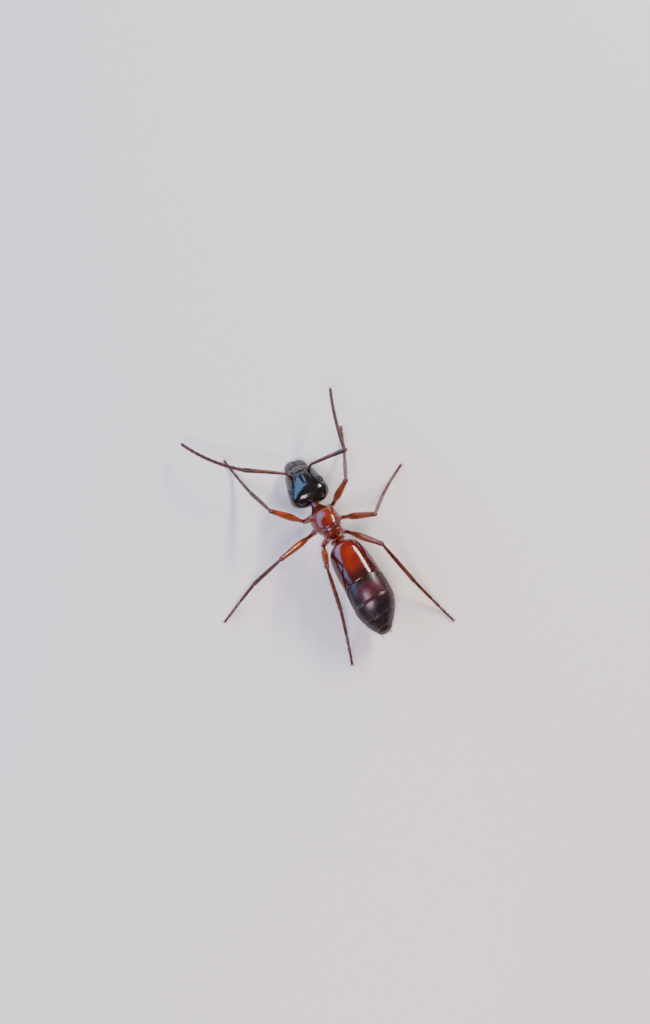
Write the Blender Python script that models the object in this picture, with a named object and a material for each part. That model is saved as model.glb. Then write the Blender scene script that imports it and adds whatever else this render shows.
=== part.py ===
"""A tropical carpenter ant, a worker with a black head and an orange-red body, at life size.

The animal stands still on its six feet. Forward is -Y, its own left is +X and up is +Z.
Sizes and places are in millimetres and are turned into metres as each mesh is made.
"""

import math

import bmesh
import bpy
from mathutils import Matrix, Vector

MM = 0.001

# Gap that touching pieces keep, small beside a leg that is half a millimetre thick.
GAP = 0.1

# Step, along a form or in radians around it, over which its outward direction is measured.
NUDGE = 0.05

# Rings that round off the end of a limb.
DOME_RINGS = 3

# Head: length without the jaws, and how it hangs from the neck.
HEAD_LENGTH = 2.75
HEAD_PITCH = 25.0
HEAD_TURN = -8.0
HEAD_SIDES = 24
HEAD_FRONT_DOME = 0.22
HEAD_REAR_DOME = 0.62
HEAD_DOME_RINGS = 4
HEAD_RINGS = 7
# Distance behind the clypeus, half width, rise above and drop below the head's axis, squareness.
HEAD_STATIONS = [
    (0.00, 0.70, 0.30, 0.20, 2.6),
    (0.45, 0.92, 0.50, 0.34, 2.4),
    (0.95, 1.03, 0.66, 0.52, 2.3),
    (1.50, 1.15, 0.76, 0.66, 2.2),
    (1.95, 1.20, 0.80, 0.72, 2.2),
    (2.35, 1.17, 0.76, 0.70, 2.3),
    (2.75, 1.08, 0.66, 0.62, 2.4),
]

# Eyes: low ovals high on the sides, behind the middle of the head.
EYE_STATION = 1.62
EYE_ANGLE = 40.0
EYE_LENGTH = 0.56
EYE_WIDTH = 0.46
EYE_THICKNESS = 0.30
EYE_SINK = 0.02
EYE_SIDES = 14
EYE_RINGS = 8

# Jaws: toothed triangular blades that close in front of the clypeus.
JAW_LENGTH = 0.86
JAW_OUTER = 0.70
JAW_INNER = 0.24
JAW_MIDDLE = 0.05
JAW_THICKNESS = 0.34
JAW_TEETH = 5
JAW_TOOTH = 0.05
JAW_LEVEL = -0.04
JAW_CROWN = 0.82
JAW_TILT = 12.0
JAW_BOW_STEPS = 8
JAW_BOW_POWER = 0.85
# Share of the jaw's length that has no teeth, at its root.
JAW_GUM = 0.26
# Point that the upper face narrows towards, in shares of the width and the length.
JAW_CROWN_PLACE = (0.5, 0.4)

# Feelers: a long scape from the socket to the elbow, then eleven short segments.
SOCKET_STATION = 0.72
SOCKET_ANGLE = 58.0
SCAPE_RADII = [(0.0, 0.20), (0.06, 0.19), (0.14, 0.20), (0.6, 0.225), (1.0, 0.24)]
SCAPE_BASE = 0.18
SCAPE_TIP = 0.235
SCAPE_LENGTH = 2.6
SCAPE_RINGS = 5
FUNICULUS_LENGTH = 4.2
FUNICULUS_SEGMENTS = 11
FUNICULUS_RADIUS = 0.215
FUNICULUS_TIP_RADIUS = 0.16
FUNICULUS_WAIST = 0.80
FUNICULUS_BEADS = 3
FUNICULUS_END = 0.6
FEELERS = {
    "left": {"side": 1.0, "scape": (56.0, 12.0), "funiculus": (44.0, 18.0, -12.0, -20.0)},
    "right": {"side": -1.0, "scape": (107.0, 33.0), "funiculus": (15.0, 27.0, -16.0, -22.0)},
}

# Trunk: place along the body, height of the axis, half width, rise, drop, squareness.
TRUNK_SIDES = 24
TRUNK_STATIONS = [
    (1.44, 1.98, 0.25, 0.21, 0.21, 2.0),
    (1.24, 2.00, 0.30, 0.27, 0.25, 2.0),
    (1.04, 2.05, 0.54, 0.46, 0.31, 2.0),
    (0.84, 2.12, 0.70, 0.60, 0.37, 2.1),
    (0.58, 2.20, 0.81, 0.70, 0.44, 2.1),
    (0.30, 2.26, 0.85, 0.78, 0.50, 2.1),
    (-0.05, 2.30, 0.82, 0.80, 0.54, 2.1),
    (-0.32, 2.31, 0.69, 0.78, 0.56, 2.2),
    (-0.52, 2.29, 0.61, 0.70, 0.55, 2.3),
    (-0.68, 2.23, 0.57, 0.59, 0.49, 2.4),
    (-0.80, 2.13, 0.52, 0.45, 0.39, 2.3),
    (-0.90, 1.98, 0.42, 0.26, 0.25, 2.2),
]
TRUNK_RINGS = 20
TRUNK_DOME_RINGS = 3
TRUNK_FRONT_DOME = 0.05
TRUNK_REAR_DOME = 0.16
# The two seams that part the trunk, as the point on the back and the point on the belly.
PRONOTUM_SEAM = ((-0.26, 3.0), (0.56, 1.75))
PROPODEUM_SEAM = ((-0.54, 2.95), (-0.30, 1.72))

# Petiole: an upright scale, as height, place along the body, half width, half thickness.
PETIOLE_SIDES = 16
PETIOLE_RINGS = 9
PETIOLE_STATIONS = [
    (1.42, -1.14, 0.26, 0.11),
    (1.62, -1.14, 0.34, 0.11),
    (1.86, -1.12, 0.42, 0.10),
    (2.12, -1.07, 0.47, 0.09),
    (2.34, -1.02, 0.42, 0.08),
    (2.48, -0.97, 0.32, 0.07),
]
PETIOLE_DOME = 0.12
PETIOLE_DOME_RINGS = 3

# Gaster: place along the body, sideways bend, height of the axis, half width, rise, drop.
GASTER_SIDES = 28
GASTER_STATIONS = [
    (-1.36, 0.00, 1.96, 0.62, 0.52, 0.44),
    (-1.62, 0.00, 2.01, 0.87, 0.74, 0.66),
    (-2.20, 0.00, 2.06, 1.07, 0.90, 0.86),
    (-3.10, 0.01, 2.07, 1.18, 0.96, 0.96),
    (-4.00, 0.03, 2.02, 1.21, 0.98, 0.99),
    (-4.65, 0.07, 1.95, 1.26, 1.00, 1.00),
    (-5.30, 0.13, 1.85, 1.24, 0.95, 0.95),
    (-5.90, 0.21, 1.72, 1.06, 0.80, 0.82),
    (-6.45, 0.31, 1.55, 0.74, 0.56, 0.58),
    (-7.02, 0.42, 1.38, 0.30, 0.22, 0.24),
]
GASTER_SEAMS = [-1.36, -3.75, -4.95, -5.95, -6.60, -7.02]
GASTER_LEAN = 42.0
GASTER_LEAN_LENGTH = 2.2
GASTER_LAP = 0.035
GASTER_FRONT_DOME = 0.34
GASTER_TIP_DOME = 0.2
GASTER_RINGS = 6
GASTER_DOME_RINGS = 3
# Length over which the edge of a middle tergite turns in.
GASTER_RIM = 0.03

# Legs: root on the trunk, coxa, then femur, tibia and tarsus with the heights of the joints.
# Headings are degrees from forward towards the leg's own side; a droop is below level.
COXA_SIDES = 12
LIMB_SIDES = 12
TARSUS_SIDES = 10
KNEE_RADIUS = 0.215
ANKLE_RADIUS = 0.205
COXA_LEAN = 0.7
COXA_SINK = 0.12
COXA_STEPS = 7
COXA_TAPER = 0.8
COXA_FOOT = 0.92
# How much sooner than the hip a coxa has turned to its own direction.
COXA_TURN = 2.0
FEMUR_DOME = 0.07
FEMUR_RINGS = 6
TIBIA_DOME = 0.06
TIBIA_RINGS = 5
FEMUR_RADII = [(0.0, 0.21), (0.07, 0.24), (0.12, 0.215), (0.3, 0.26), (0.6, 0.25), (1.0, 0.215)]
TIBIA_RADII = [(0.0, 0.17), (0.08, 0.20), (0.5, 0.23), (0.85, 0.235), (1.0, 0.205)]
TARSUS_SHARES = [0.46, 0.18, 0.13, 0.09, 0.14]
TARSUS_RADIUS = 0.205
TARSUS_TIP_RADIUS = 0.14
TARSUS_WAIST = 0.84
TARSUS_BEADS = 40
# Share of the tarsus after which it lies on the floor, and how steeply it falls before that.
TARSUS_LANDING = 0.80
TARSUS_FALL = 1.35
SOLE_SHARE = 0.80
LEGS = {
    "front": {
        "root": (0.82, -46.0),
        "coxa": (0.30, 0.23, 0.82),
        "lengths": (2.4, 2.35, 3.1),
        "left": {
            "coxa": (58.0, 42.0),
            "femur": (48.0, 2.62),
            "tibia": (9.0, 1.15),
            "tarsus": (6.0, 4.0),
        },
        "right": {
            "coxa": (60.0, 42.0),
            "femur": (69.0, 3.28),
            "tibia": (31.0, 1.45),
            "tarsus": (31.0, 24.0),
        },
    },
    "middle": {
        "root": (0.12, -48.0),
        "coxa": (0.28, 0.23, 0.70),
        "lengths": (2.75, 2.55, 3.0),
        "left": {
            "coxa": (84.0, 44.0),
            "femur": (102.0, 2.68),
            "tibia": (94.0, 1.05),
            "tarsus": (104.0, 112.0),
        },
        "right": {
            "coxa": (92.0, 44.0),
            "femur": (129.0, 3.36),
            "tibia": (50.0, 1.3),
            "tarsus": (54.0, 66.0),
        },
    },
    "hind": {
        "root": (-0.58, -54.0),
        "coxa": (0.29, 0.23, 0.74),
        "lengths": (2.85, 3.2, 3.5),
        "left": {
            "coxa": (122.0, 46.0),
            "femur": (155.0, 3.55),
            "tibia": (169.0, 1.25),
            "tarsus": (163.0, 158.0),
        },
        "right": {
            "coxa": (118.0, 46.0),
            "femur": (150.0, 2.95),
            "tibia": (166.0, 1.15),
            "tarsus": (163.0, 166.0),
        },
    },
}

# Colour, roughness and metallic value of each surface.
SURFACES = {
    "black_shell": ((0.012, 0.010, 0.012), 0.14, 0.0),
    "eye": ((0.006, 0.006, 0.008), 0.25, 0.0),
    "orange_shell": ((0.50, 0.11, 0.02), 0.20, 0.0),
    "red_shell": ((0.30, 0.045, 0.015), 0.16, 0.0),
    "purple_shell": ((0.045, 0.014, 0.022), 0.22, 0.0),
    "orange_leg": ((0.42, 0.14, 0.04), 0.30, 0.0),
    "brown_leg": ((0.19, 0.06, 0.035), 0.35, 0.0),
}


def spot(forward, left, up):
    """A point in millimetres from its distance forward, to the left and up."""
    return Vector((left, -forward, up))


def heading_vector(heading, side, rise=0.0):
    """Unit direction at an angle from forward towards one side, tilted up by rise degrees."""
    turn = math.radians(heading)
    tilt = math.radians(rise)
    level = math.cos(tilt)
    return spot(level * math.cos(turn), side * level * math.sin(turn), math.sin(tilt))


def between(rows, place):
    """Smooth values of the columns after the first, read at a place in the first column."""
    if rows[0][0] > rows[-1][0]:
        rows = rows[::-1]
    place = min(max(place, rows[0][0]), rows[-1][0])
    last = len(rows) - 2
    index = next((i for i in range(last + 1) if place <= rows[i + 1][0]), last)
    here, there = rows[index], rows[index + 1]
    before = rows[max(index - 1, 0)]
    after = rows[min(index + 2, len(rows) - 1)]
    span = there[0] - here[0]
    part = (place - here[0]) / span
    values = []
    for column in range(1, len(here)):
        start_slope = (there[column] - before[column]) / (there[0] - before[0])
        end_slope = (after[column] - here[column]) / (after[0] - here[0])
        values.append(
            here[column] * (2 * part**3 - 3 * part**2 + 1)
            + start_slope * span * (part**3 - 2 * part**2 + part)
            + there[column] * (3 * part**2 - 2 * part**3)
            + end_slope * span * (part**3 - part**2)
        )
    return values


class Section:
    """One cross-section: an oval on the side and rise directions around a centre."""

    def __init__(self, centre, side, rise, wide, high, deep=None, square=2.0):
        self.centre = centre
        self.side = side
        self.rise = rise
        self.wide = wide
        self.high = high
        self.deep = high if deep is None else deep
        self.square = square

    def at(self, angle):
        across = math.cos(angle)
        upward = math.sin(angle)
        fit = (abs(across) ** self.square + abs(upward) ** self.square) ** (-1.0 / self.square)
        reach = self.high if upward > 0.0 else self.deep
        return self.centre + self.side * (across * fit * self.wide) + self.rise * (upward * fit * reach)


def loft_mesh(name, sections, sides, floor=None):
    """Closed mesh through the sections, made from a ball whose rings are moved onto them."""
    shape = bmesh.new()
    last = len(sections) - 1
    bmesh.ops.create_uvsphere(shape, u_segments=sides, v_segments=last, radius=1.0)
    for corner in shape.verts:
        level = max(-1.0, min(1.0, corner.co.z))
        step = round(math.acos(level) / math.pi * last)
        section = sections[step]
        if step in (0, last):
            corner.co = section.centre
        else:
            corner.co = section.at(math.atan2(corner.co.y, corner.co.x))
        if floor is not None:
            corner.co.z = max(corner.co.z, floor)
    bmesh.ops.scale(shape, vec=Vector((MM, MM, MM)), verts=shape.verts)
    bmesh.ops.recalc_face_normals(shape, faces=shape.faces)
    mesh = bpy.data.meshes.new(name)
    shape.to_mesh(mesh)
    shape.free()
    return mesh


def ring_steps(length, front_dome, rear_dome, dome_rings, middle_rings):
    """Places along a form, each with the share of its full size that the round ends leave."""
    steps = [(0.0, 0.0)]
    for ring in range(1, dome_rings + 1):
        angle = 0.5 * math.pi * ring / dome_rings
        steps.append((front_dome * (1.0 - math.cos(angle)), math.sin(angle)))
    middle = length - front_dome - rear_dome
    for ring in range(1, middle_rings + 1):
        steps.append((front_dome + middle * ring / (middle_rings + 1), 1.0))
    for ring in range(dome_rings, 0, -1):
        angle = 0.5 * math.pi * ring / dome_rings
        steps.append((length - rear_dome * (1.0 - math.cos(angle)), math.sin(angle)))
    steps.append((length, 0.0))
    return steps


def across_and_up(direction):
    """Side and rise directions square to a direction of travel, with the rise near upright."""
    upright = Vector((0.0, 0.0, 1.0))
    if abs(direction.dot(upright)) > 0.95:
        upright = spot(1.0, 0.0, 0.0)
    side = direction.cross(upright).normalized()
    rise = side.cross(direction).normalized()
    return side, rise


def limb_mesh(name, start, finish, radii, sides, start_dome, end_dome, middle_rings):
    """Straight round limb between two points, its radius read from a list of shares and radii."""
    direction = (finish - start).normalized()
    length = (finish - start).length
    side, rise = across_and_up(direction)
    sections = []
    for place, share in ring_steps(length, start_dome, end_dome, DOME_RINGS, middle_rings):
        radius = between(radii, place / length)[0] * share
        sections.append(Section(start + direction * place, side, rise, radius, radius))
    return loft_mesh(name, sections, sides)


def beaded_mesh(name, path, radii, sides, floor=None):
    """Round limb along a list of points, with a radius for each, closed flat at both ends."""
    sections = []
    last = len(path) - 1
    for index, point in enumerate(path):
        direction = (path[min(index + 1, last)] - path[max(index - 1, 0)]).normalized()
        side, rise = across_and_up(direction)
        radius = radii[index]
        if index == 0:
            sections.append(Section(point, side, rise, 0.0, 0.0))
        sections.append(Section(point, side, rise, radius, radius))
        if index == last:
            sections.append(Section(point, side, rise, 0.0, 0.0))
    return loft_mesh(name, sections, sides, floor)


class Ant:
    """The collections, surfaces and finished pieces of the animal."""

    def __init__(self):
        self.parts = bpy.data.collections.new("carpenter_ant")
        self.cutters = bpy.data.collections.new("cutters")
        bpy.context.scene.collection.children.link(self.parts)
        bpy.context.scene.collection.children.link(self.cutters)
        self.stand = bpy.data.objects.new("stance", None)
        self.parts.objects.link(self.stand)
        self.surfaces = {name: self.surface(name, *look) for name, look in SURFACES.items()}

    def surface(self, name, colour, roughness, metallic):
        material = bpy.data.materials.new(name)
        material.use_nodes = True
        shader = material.node_tree.nodes["Principled BSDF"]
        shader.inputs["Base Color"].default_value = (*colour, 1.0)
        shader.inputs["Roughness"].default_value = roughness
        shader.inputs["Metallic"].default_value = metallic
        material.diffuse_color = (*colour, 1.0)
        return material

    def piece(self, name, mesh, surface, frame=None):
        mesh.materials.clear()
        mesh.materials.append(self.surfaces[surface])
        mesh.shade_smooth()
        item = bpy.data.objects.new(name, mesh)
        self.parts.objects.link(item)
        item.parent = self.stand
        if frame is not None:
            item.matrix_world = frame
        return item

    def cutter(self, name, mesh, frame=None):
        item = bpy.data.objects.new(name, mesh)
        item.hide_render = True
        item.display_type = "WIRE"
        self.cutters.objects.link(item)
        if frame is not None:
            item.matrix_world = frame
        return item

    def settle(self):
        """Puts the middle of the animal's outline over the origin and its soles at height zero."""
        bpy.context.view_layer.update()
        corners = [
            item.matrix_world @ corner.co
            for item in self.parts.objects
            if item.type == "MESH"
            for corner in item.data.vertices
        ]
        low = Vector([min(c[axis] for c in corners) for axis in range(3)])
        high = Vector([max(c[axis] for c in corners) for axis in range(3)])
        middle = (low + high) / 2.0
        self.stand.location = (-middle.x, -middle.y, -low.z)


def keep_side(mesh, point, normal):
    """Cuts a closed mesh with a plane and keeps the side that the normal points away from."""
    shape = bmesh.new()
    shape.from_mesh(mesh)
    cut = bmesh.ops.bisect_plane(
        shape,
        geom=shape.verts[:] + shape.edges[:] + shape.faces[:],
        dist=1e-9,
        plane_co=point * MM,
        plane_no=normal,
        clear_outer=True,
    )
    rim = [edge for edge in cut["geom_cut"] if isinstance(edge, bmesh.types.BMEdge)]
    bmesh.ops.contextual_create(shape, geom=rim)
    bmesh.ops.recalc_face_normals(shape, faces=shape.faces)
    shape.to_mesh(mesh)
    shape.free()


def cut_with(item, cutters):
    """Takes the cutters out of a piece and applies the result."""
    for cutter in cutters:
        modifier = item.modifiers.new("cut", "BOOLEAN")
        modifier.object = cutter
        modifier.operation = "DIFFERENCE"
        modifier.solver = "MANIFOLD"
    bake(item)


def bake(item):
    """Replaces a piece's mesh with what its modifiers make of it."""
    bpy.context.view_layer.update()
    evaluated = item.evaluated_get(bpy.context.evaluated_depsgraph_get())
    mesh = bpy.data.meshes.new_from_object(evaluated)
    item.modifiers.clear()
    keep_largest(mesh)
    item.data = mesh


def keep_largest(mesh):
    """Drops all but the largest closed surface of a mesh."""
    shape = bmesh.new()
    shape.from_mesh(mesh)
    loose = set(shape.verts)
    groups = []
    while loose:
        group = {loose.pop()}
        edge_of_group = list(group)
        while edge_of_group:
            corner = edge_of_group.pop()
            for edge in corner.link_edges:
                other = edge.other_vert(corner)
                if other in loose:
                    loose.remove(other)
                    group.add(other)
                    edge_of_group.append(other)
        groups.append(group)
    groups.sort(key=len)
    for group in groups[:-1]:
        bmesh.ops.delete(shape, geom=list(group), context="VERTS")
    shape.to_mesh(mesh)
    shape.free()


def head_section(place, share=1.0):
    wide, high, deep, square = between(HEAD_STATIONS, place)
    centre = spot(HEAD_LENGTH - place, 0.0, 0.0)
    side = spot(0.0, 1.0, 0.0)
    rise = spot(0.0, 0.0, 1.0)
    return Section(centre, side, rise, wide * share, high * share, deep * share, square)


def head_surface(place, angle):
    """Point on the head and its outward direction, from the place behind the clypeus."""
    turn = math.radians(angle)
    here = head_section(place).at(turn)
    along = head_section(place + NUDGE).at(turn) - head_section(place - NUDGE).at(turn)
    around = head_section(place).at(turn + NUDGE) - head_section(place).at(turn - NUDGE)
    return here, along.cross(around).normalized()


def head_frame():
    """Turns and places the head's own axes so that the occiput meets the front of the neck."""
    neck = spot(TRUNK_STATIONS[0][0] + GAP, 0.0, TRUNK_STATIONS[0][1])
    turn = Matrix.Rotation(math.radians(HEAD_TURN), 4, "Z")
    pitch = Matrix.Rotation(math.radians(HEAD_PITCH), 4, "X")
    return Matrix.Translation(neck * MM) @ turn @ pitch


def build_head(ant):
    frame = head_frame()
    steps = ring_steps(HEAD_LENGTH, HEAD_FRONT_DOME, HEAD_REAR_DOME, HEAD_DOME_RINGS, HEAD_RINGS)
    sections = [head_section(place, share) for place, share in steps]
    head = ant.piece("head", loft_mesh("head", sections, HEAD_SIDES), "black_shell", frame)
    sockets = []
    for label, side in (("left", 1.0), ("right", -1.0)):
        angle = EYE_ANGLE if side > 0.0 else 180.0 - EYE_ANGLE
        point, outward = head_surface(EYE_STATION, angle)
        eye_frame = eye_axes(point - outward * EYE_SINK, outward)
        eye = eye_mesh("eye_" + label, 0.0)
        ant.piece("eye_" + label, eye, "eye", frame @ eye_frame)
        sockets.append(ant.cutter("socket_" + label, eye_mesh("socket_" + label, GAP), frame @ eye_frame))
    bpy.context.view_layer.update()
    cut_with(head, sockets)
    for label, side in (("left", 1.0), ("right", -1.0)):
        build_jaw(ant, "mandible_" + label, side, frame)
    return frame


def eye_axes(point, outward):
    """Frame with Z out of the head and X along it."""
    along = spot(1.0, 0.0, 0.0)
    along = (along - outward * along.dot(outward)).normalized()
    across = outward.cross(along)
    turn = Matrix((along, across, outward)).transposed().to_4x4()
    return Matrix.Translation(point * MM) @ turn


def eye_mesh(name, margin):
    shape = bmesh.new()
    bmesh.ops.create_uvsphere(shape, u_segments=EYE_SIDES, v_segments=EYE_RINGS, radius=1.0)
    size = Vector((EYE_LENGTH / 2 + margin, EYE_WIDTH / 2 + margin, EYE_THICKNESS / 2 + margin)) * MM
    bmesh.ops.scale(shape, vec=size, verts=shape.verts)
    mesh = bpy.data.meshes.new(name)
    shape.to_mesh(mesh)
    shape.free()
    return mesh


def build_jaw(ant, name, side, frame):
    """A blade with a bowed outer edge and a toothed inner edge that meets its fellow."""
    outline = []
    for step in range(JAW_BOW_STEPS):
        turn = 0.5 * math.pi * step / (JAW_BOW_STEPS - 1)
        across = JAW_MIDDLE + (JAW_OUTER - JAW_MIDDLE) * math.cos(turn) ** JAW_BOW_POWER
        outline.append((across, JAW_LENGTH * math.sin(turn)))
    gum = JAW_GUM * JAW_LENGTH
    pitch = (JAW_LENGTH - gum) / (JAW_TEETH + 0.5)
    for tooth in range(JAW_TEETH):
        peak = JAW_LENGTH - pitch * (tooth + 1)
        outline.append((JAW_MIDDLE + JAW_TOOTH, peak + 0.5 * pitch))
        outline.append((JAW_MIDDLE, peak))
    outline.append((JAW_INNER, 0.0))
    shape = bmesh.new()
    ring = [
        shape.verts.new((side * across, -forward, -JAW_THICKNESS / 2.0)) for across, forward in outline
    ]
    face = shape.faces.new(ring)
    raised = bmesh.ops.extrude_face_region(shape, geom=[face])
    top = [v for v in raised["geom"] if isinstance(v, bmesh.types.BMVert)]
    bmesh.ops.translate(shape, vec=(0.0, 0.0, JAW_THICKNESS), verts=top)
    across_share, forward_share = JAW_CROWN_PLACE
    middle = Vector((side * across_share * JAW_OUTER, -forward_share * JAW_LENGTH, 0.0))
    for corner in top:
        corner.co.x = middle.x + (corner.co.x - middle.x) * JAW_CROWN
        corner.co.y = middle.y + (corner.co.y - middle.y) * JAW_CROWN
    bmesh.ops.scale(shape, vec=(MM, MM, MM), verts=shape.verts)
    bmesh.ops.recalc_face_normals(shape, faces=shape.faces)
    mesh = bpy.data.meshes.new(name)
    shape.to_mesh(mesh)
    shape.free()
    hinge = spot(HEAD_LENGTH + GAP, 0.0, JAW_LEVEL)
    tilt = Matrix.Rotation(math.radians(JAW_TILT), 4, "X")
    ant.piece(name, mesh, "black_shell", frame @ Matrix.Translation(hinge * MM) @ tilt)


def trunk_section(place, share=1.0, margin=0.0):
    level, wide, high, deep, square = between(TRUNK_STATIONS, place)
    centre = spot(place, 0.0, level)
    side = spot(0.0, 1.0, 0.0)
    rise = spot(0.0, 0.0, 1.0)
    sizes = [(size + margin) * share for size in (wide, high, deep)]
    return Section(centre, side, rise, *sizes, square)


def trunk_surface(place, angle):
    """Point on the trunk and its outward direction."""
    turn = math.radians(angle)
    here = trunk_section(place).at(turn)
    along = trunk_section(place - NUDGE).at(turn) - trunk_section(place + NUDGE).at(turn)
    around = trunk_section(place).at(turn + NUDGE) - trunk_section(place).at(turn - NUDGE)
    return here, along.cross(around).normalized()


def trunk_mesh(name, margin=0.0):
    front, rear = TRUNK_STATIONS[0][0], TRUNK_STATIONS[-1][0]
    steps = ring_steps(front - rear, TRUNK_FRONT_DOME, TRUNK_REAR_DOME, TRUNK_DOME_RINGS, TRUNK_RINGS)
    sections = [trunk_section(front - place, share, margin) for place, share in steps]
    return loft_mesh(name, sections, TRUNK_SIDES)


def seam_plane(seam):
    """Point on a seam and its direction towards the head."""
    (back_place, back_level), (belly_place, belly_level) = seam
    back = spot(back_place, 0.0, back_level)
    belly = spot(belly_place, 0.0, belly_level)
    normal = (back - belly).cross(spot(0.0, 1.0, 0.0)).normalized()
    if normal.dot(spot(1.0, 0.0, 0.0)) < 0.0:
        normal = -normal
    return back, normal


def build_trunk(ant):
    front_point, front_normal = seam_plane(PRONOTUM_SEAM)
    rear_point, rear_normal = seam_plane(PROPODEUM_SEAM)
    half = GAP / 2.0
    pronotum = trunk_mesh("pronotum")
    keep_side(pronotum, front_point + front_normal * half, -front_normal)
    ant.piece("pronotum", pronotum, "orange_shell")
    mesonotum = trunk_mesh("mesonotum")
    keep_side(mesonotum, front_point - front_normal * half, front_normal)
    keep_side(mesonotum, rear_point + rear_normal * half, -rear_normal)
    ant.piece("mesonotum", mesonotum, "orange_shell")
    propodeum = trunk_mesh("propodeum")
    keep_side(propodeum, rear_point - rear_normal * half, rear_normal)
    ant.piece("propodeum", propodeum, "orange_shell")


def build_petiole(ant):
    bottom, top = PETIOLE_STATIONS[0][0], PETIOLE_STATIONS[-1][0]
    sections = []
    steps = ring_steps(top - bottom, PETIOLE_DOME, PETIOLE_DOME, PETIOLE_DOME_RINGS, PETIOLE_RINGS)
    for place, share in steps:
        level = top - place
        forward, wide, thick = between(PETIOLE_STATIONS, level)
        centre = spot(forward, 0.0, level)
        side = spot(0.0, 1.0, 0.0)
        sections.append(Section(centre, side, spot(-1.0, 0.0, 0.0), wide * share, thick * share))
    ant.piece("petiole", loft_mesh("petiole", sections, PETIOLE_SIDES), "orange_shell")


def gaster_section(place, share):
    bend, level, wide, high, deep = between(GASTER_STATIONS, place)
    behind = GASTER_STATIONS[0][0] - place
    fade = max(0.0, 1.0 - behind / GASTER_LEAN_LENGTH)
    lean = math.radians(GASTER_LEAN) * fade * fade
    rise = spot(math.sin(lean), 0.0, math.cos(lean))
    centre = spot(place, bend, level)
    side = spot(0.0, 1.0, 0.0)
    return Section(centre, side, rise, wide * share, high * share, deep * share)


def build_gaster(ant):
    tergites = len(GASTER_SEAMS) - 1
    for index in range(tergites):
        first = index == 0
        last = index == tergites - 1
        front = GASTER_SEAMS[index] - (0.0 if first else GAP / 2.0)
        rear = GASTER_SEAMS[index + 1] + (0.0 if last else GAP / 2.0)
        length = front - rear
        front_dome = GASTER_FRONT_DOME if first else GASTER_RIM
        rear_dome = GASTER_TIP_DOME if last else GASTER_RIM
        dome_rings = GASTER_DOME_RINGS if first or last else 1
        steps = ring_steps(length, front_dome, rear_dome, dome_rings, GASTER_RINGS)
        sections = []
        for place, share in steps:
            lap = GASTER_LAP * (place / length - 0.5)
            sections.append(gaster_section(front - place, share * (1.0 + lap)))
        name = "gaster_tergite_%d" % (index + 1)
        surface = "red_shell" if first else "purple_shell"
        ant.piece(name, loft_mesh(name, sections, GASTER_SIDES), surface)


def curved_path(start, side, length, first_heading, last_heading, first_rise, last_rise, count):
    """Points a fixed step apart along a path whose heading and rise change evenly."""
    path = [start]
    step = length / count
    for index in range(count):
        share = (index + 0.5) / count
        heading = first_heading + (last_heading - first_heading) * share
        rise = first_rise + (last_rise - first_rise) * share
        path.append(path[-1] + heading_vector(heading, side, rise) * step)
    return path


def build_feeler(ant, label, feeler, frame):
    side = feeler["side"]
    angle = SOCKET_ANGLE if side > 0.0 else 180.0 - SOCKET_ANGLE
    point, outward = head_surface(SOCKET_STATION, angle)
    base = frame @ ((point + outward * (GAP + SCAPE_BASE)) * MM) / MM
    heading, rise = feeler["scape"]
    direction = heading_vector(heading, side, rise)
    elbow = base + direction * SCAPE_LENGTH
    start = base - direction * SCAPE_BASE
    finish = elbow + direction * SCAPE_TIP
    name = "scape_" + label
    mesh = limb_mesh(name, start, finish, SCAPE_RADII, LIMB_SIDES, SCAPE_BASE, SCAPE_TIP, SCAPE_RINGS)
    ant.piece(name, mesh, "brown_leg")
    first_heading, last_heading, first_rise, last_rise = feeler["funiculus"]
    onward = heading_vector(first_heading, side, first_rise)
    count = FUNICULUS_SEGMENTS * FUNICULUS_BEADS
    path = curved_path(
        elbow + onward * (SCAPE_TIP + GAP),
        side,
        FUNICULUS_LENGTH,
        first_heading,
        last_heading,
        first_rise,
        last_rise,
        count,
    )
    radii = []
    for index in range(count + 1):
        taper = FUNICULUS_RADIUS + (FUNICULUS_TIP_RADIUS - FUNICULUS_RADIUS) * (index / count) ** 2
        waist = FUNICULUS_WAIST if index % FUNICULUS_BEADS == 0 else 1.0
        radii.append(taper * waist)
    radii[-1] *= FUNICULUS_END
    name = "funiculus_" + label
    ant.piece(name, beaded_mesh(name, path, radii, TARSUS_SIDES), "brown_leg")


def tarsus_path(ankle, side, length, first_heading, last_heading, count):
    """Points down from the ankle to the floor and then along it, a fixed step apart."""
    step = length / count
    sole = TARSUS_TIP_RADIUS * SOLE_SHARE
    fall = ankle.z - sole
    path = [ankle]
    for index in range(count):
        share = (index + 1) / count
        left = max(0.0, 1.0 - share / TARSUS_LANDING)
        height = sole + fall * left**TARSUS_FALL
        drop = path[-1].z - height
        run = math.sqrt(max(step * step - drop * drop, 1e-6))
        heading = first_heading + (last_heading - first_heading) * share
        path.append(path[-1] + heading_vector(heading, side) * run - Vector((0.0, 0.0, drop)))
    return path


def level_limb(start, side, length, heading, height):
    """End point of a limb of a given length that ends at a given height."""
    rise = height - start.z
    run = math.sqrt(length * length - rise * rise)
    return start + heading_vector(heading, side) * run + Vector((0.0, 0.0, rise))


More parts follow.
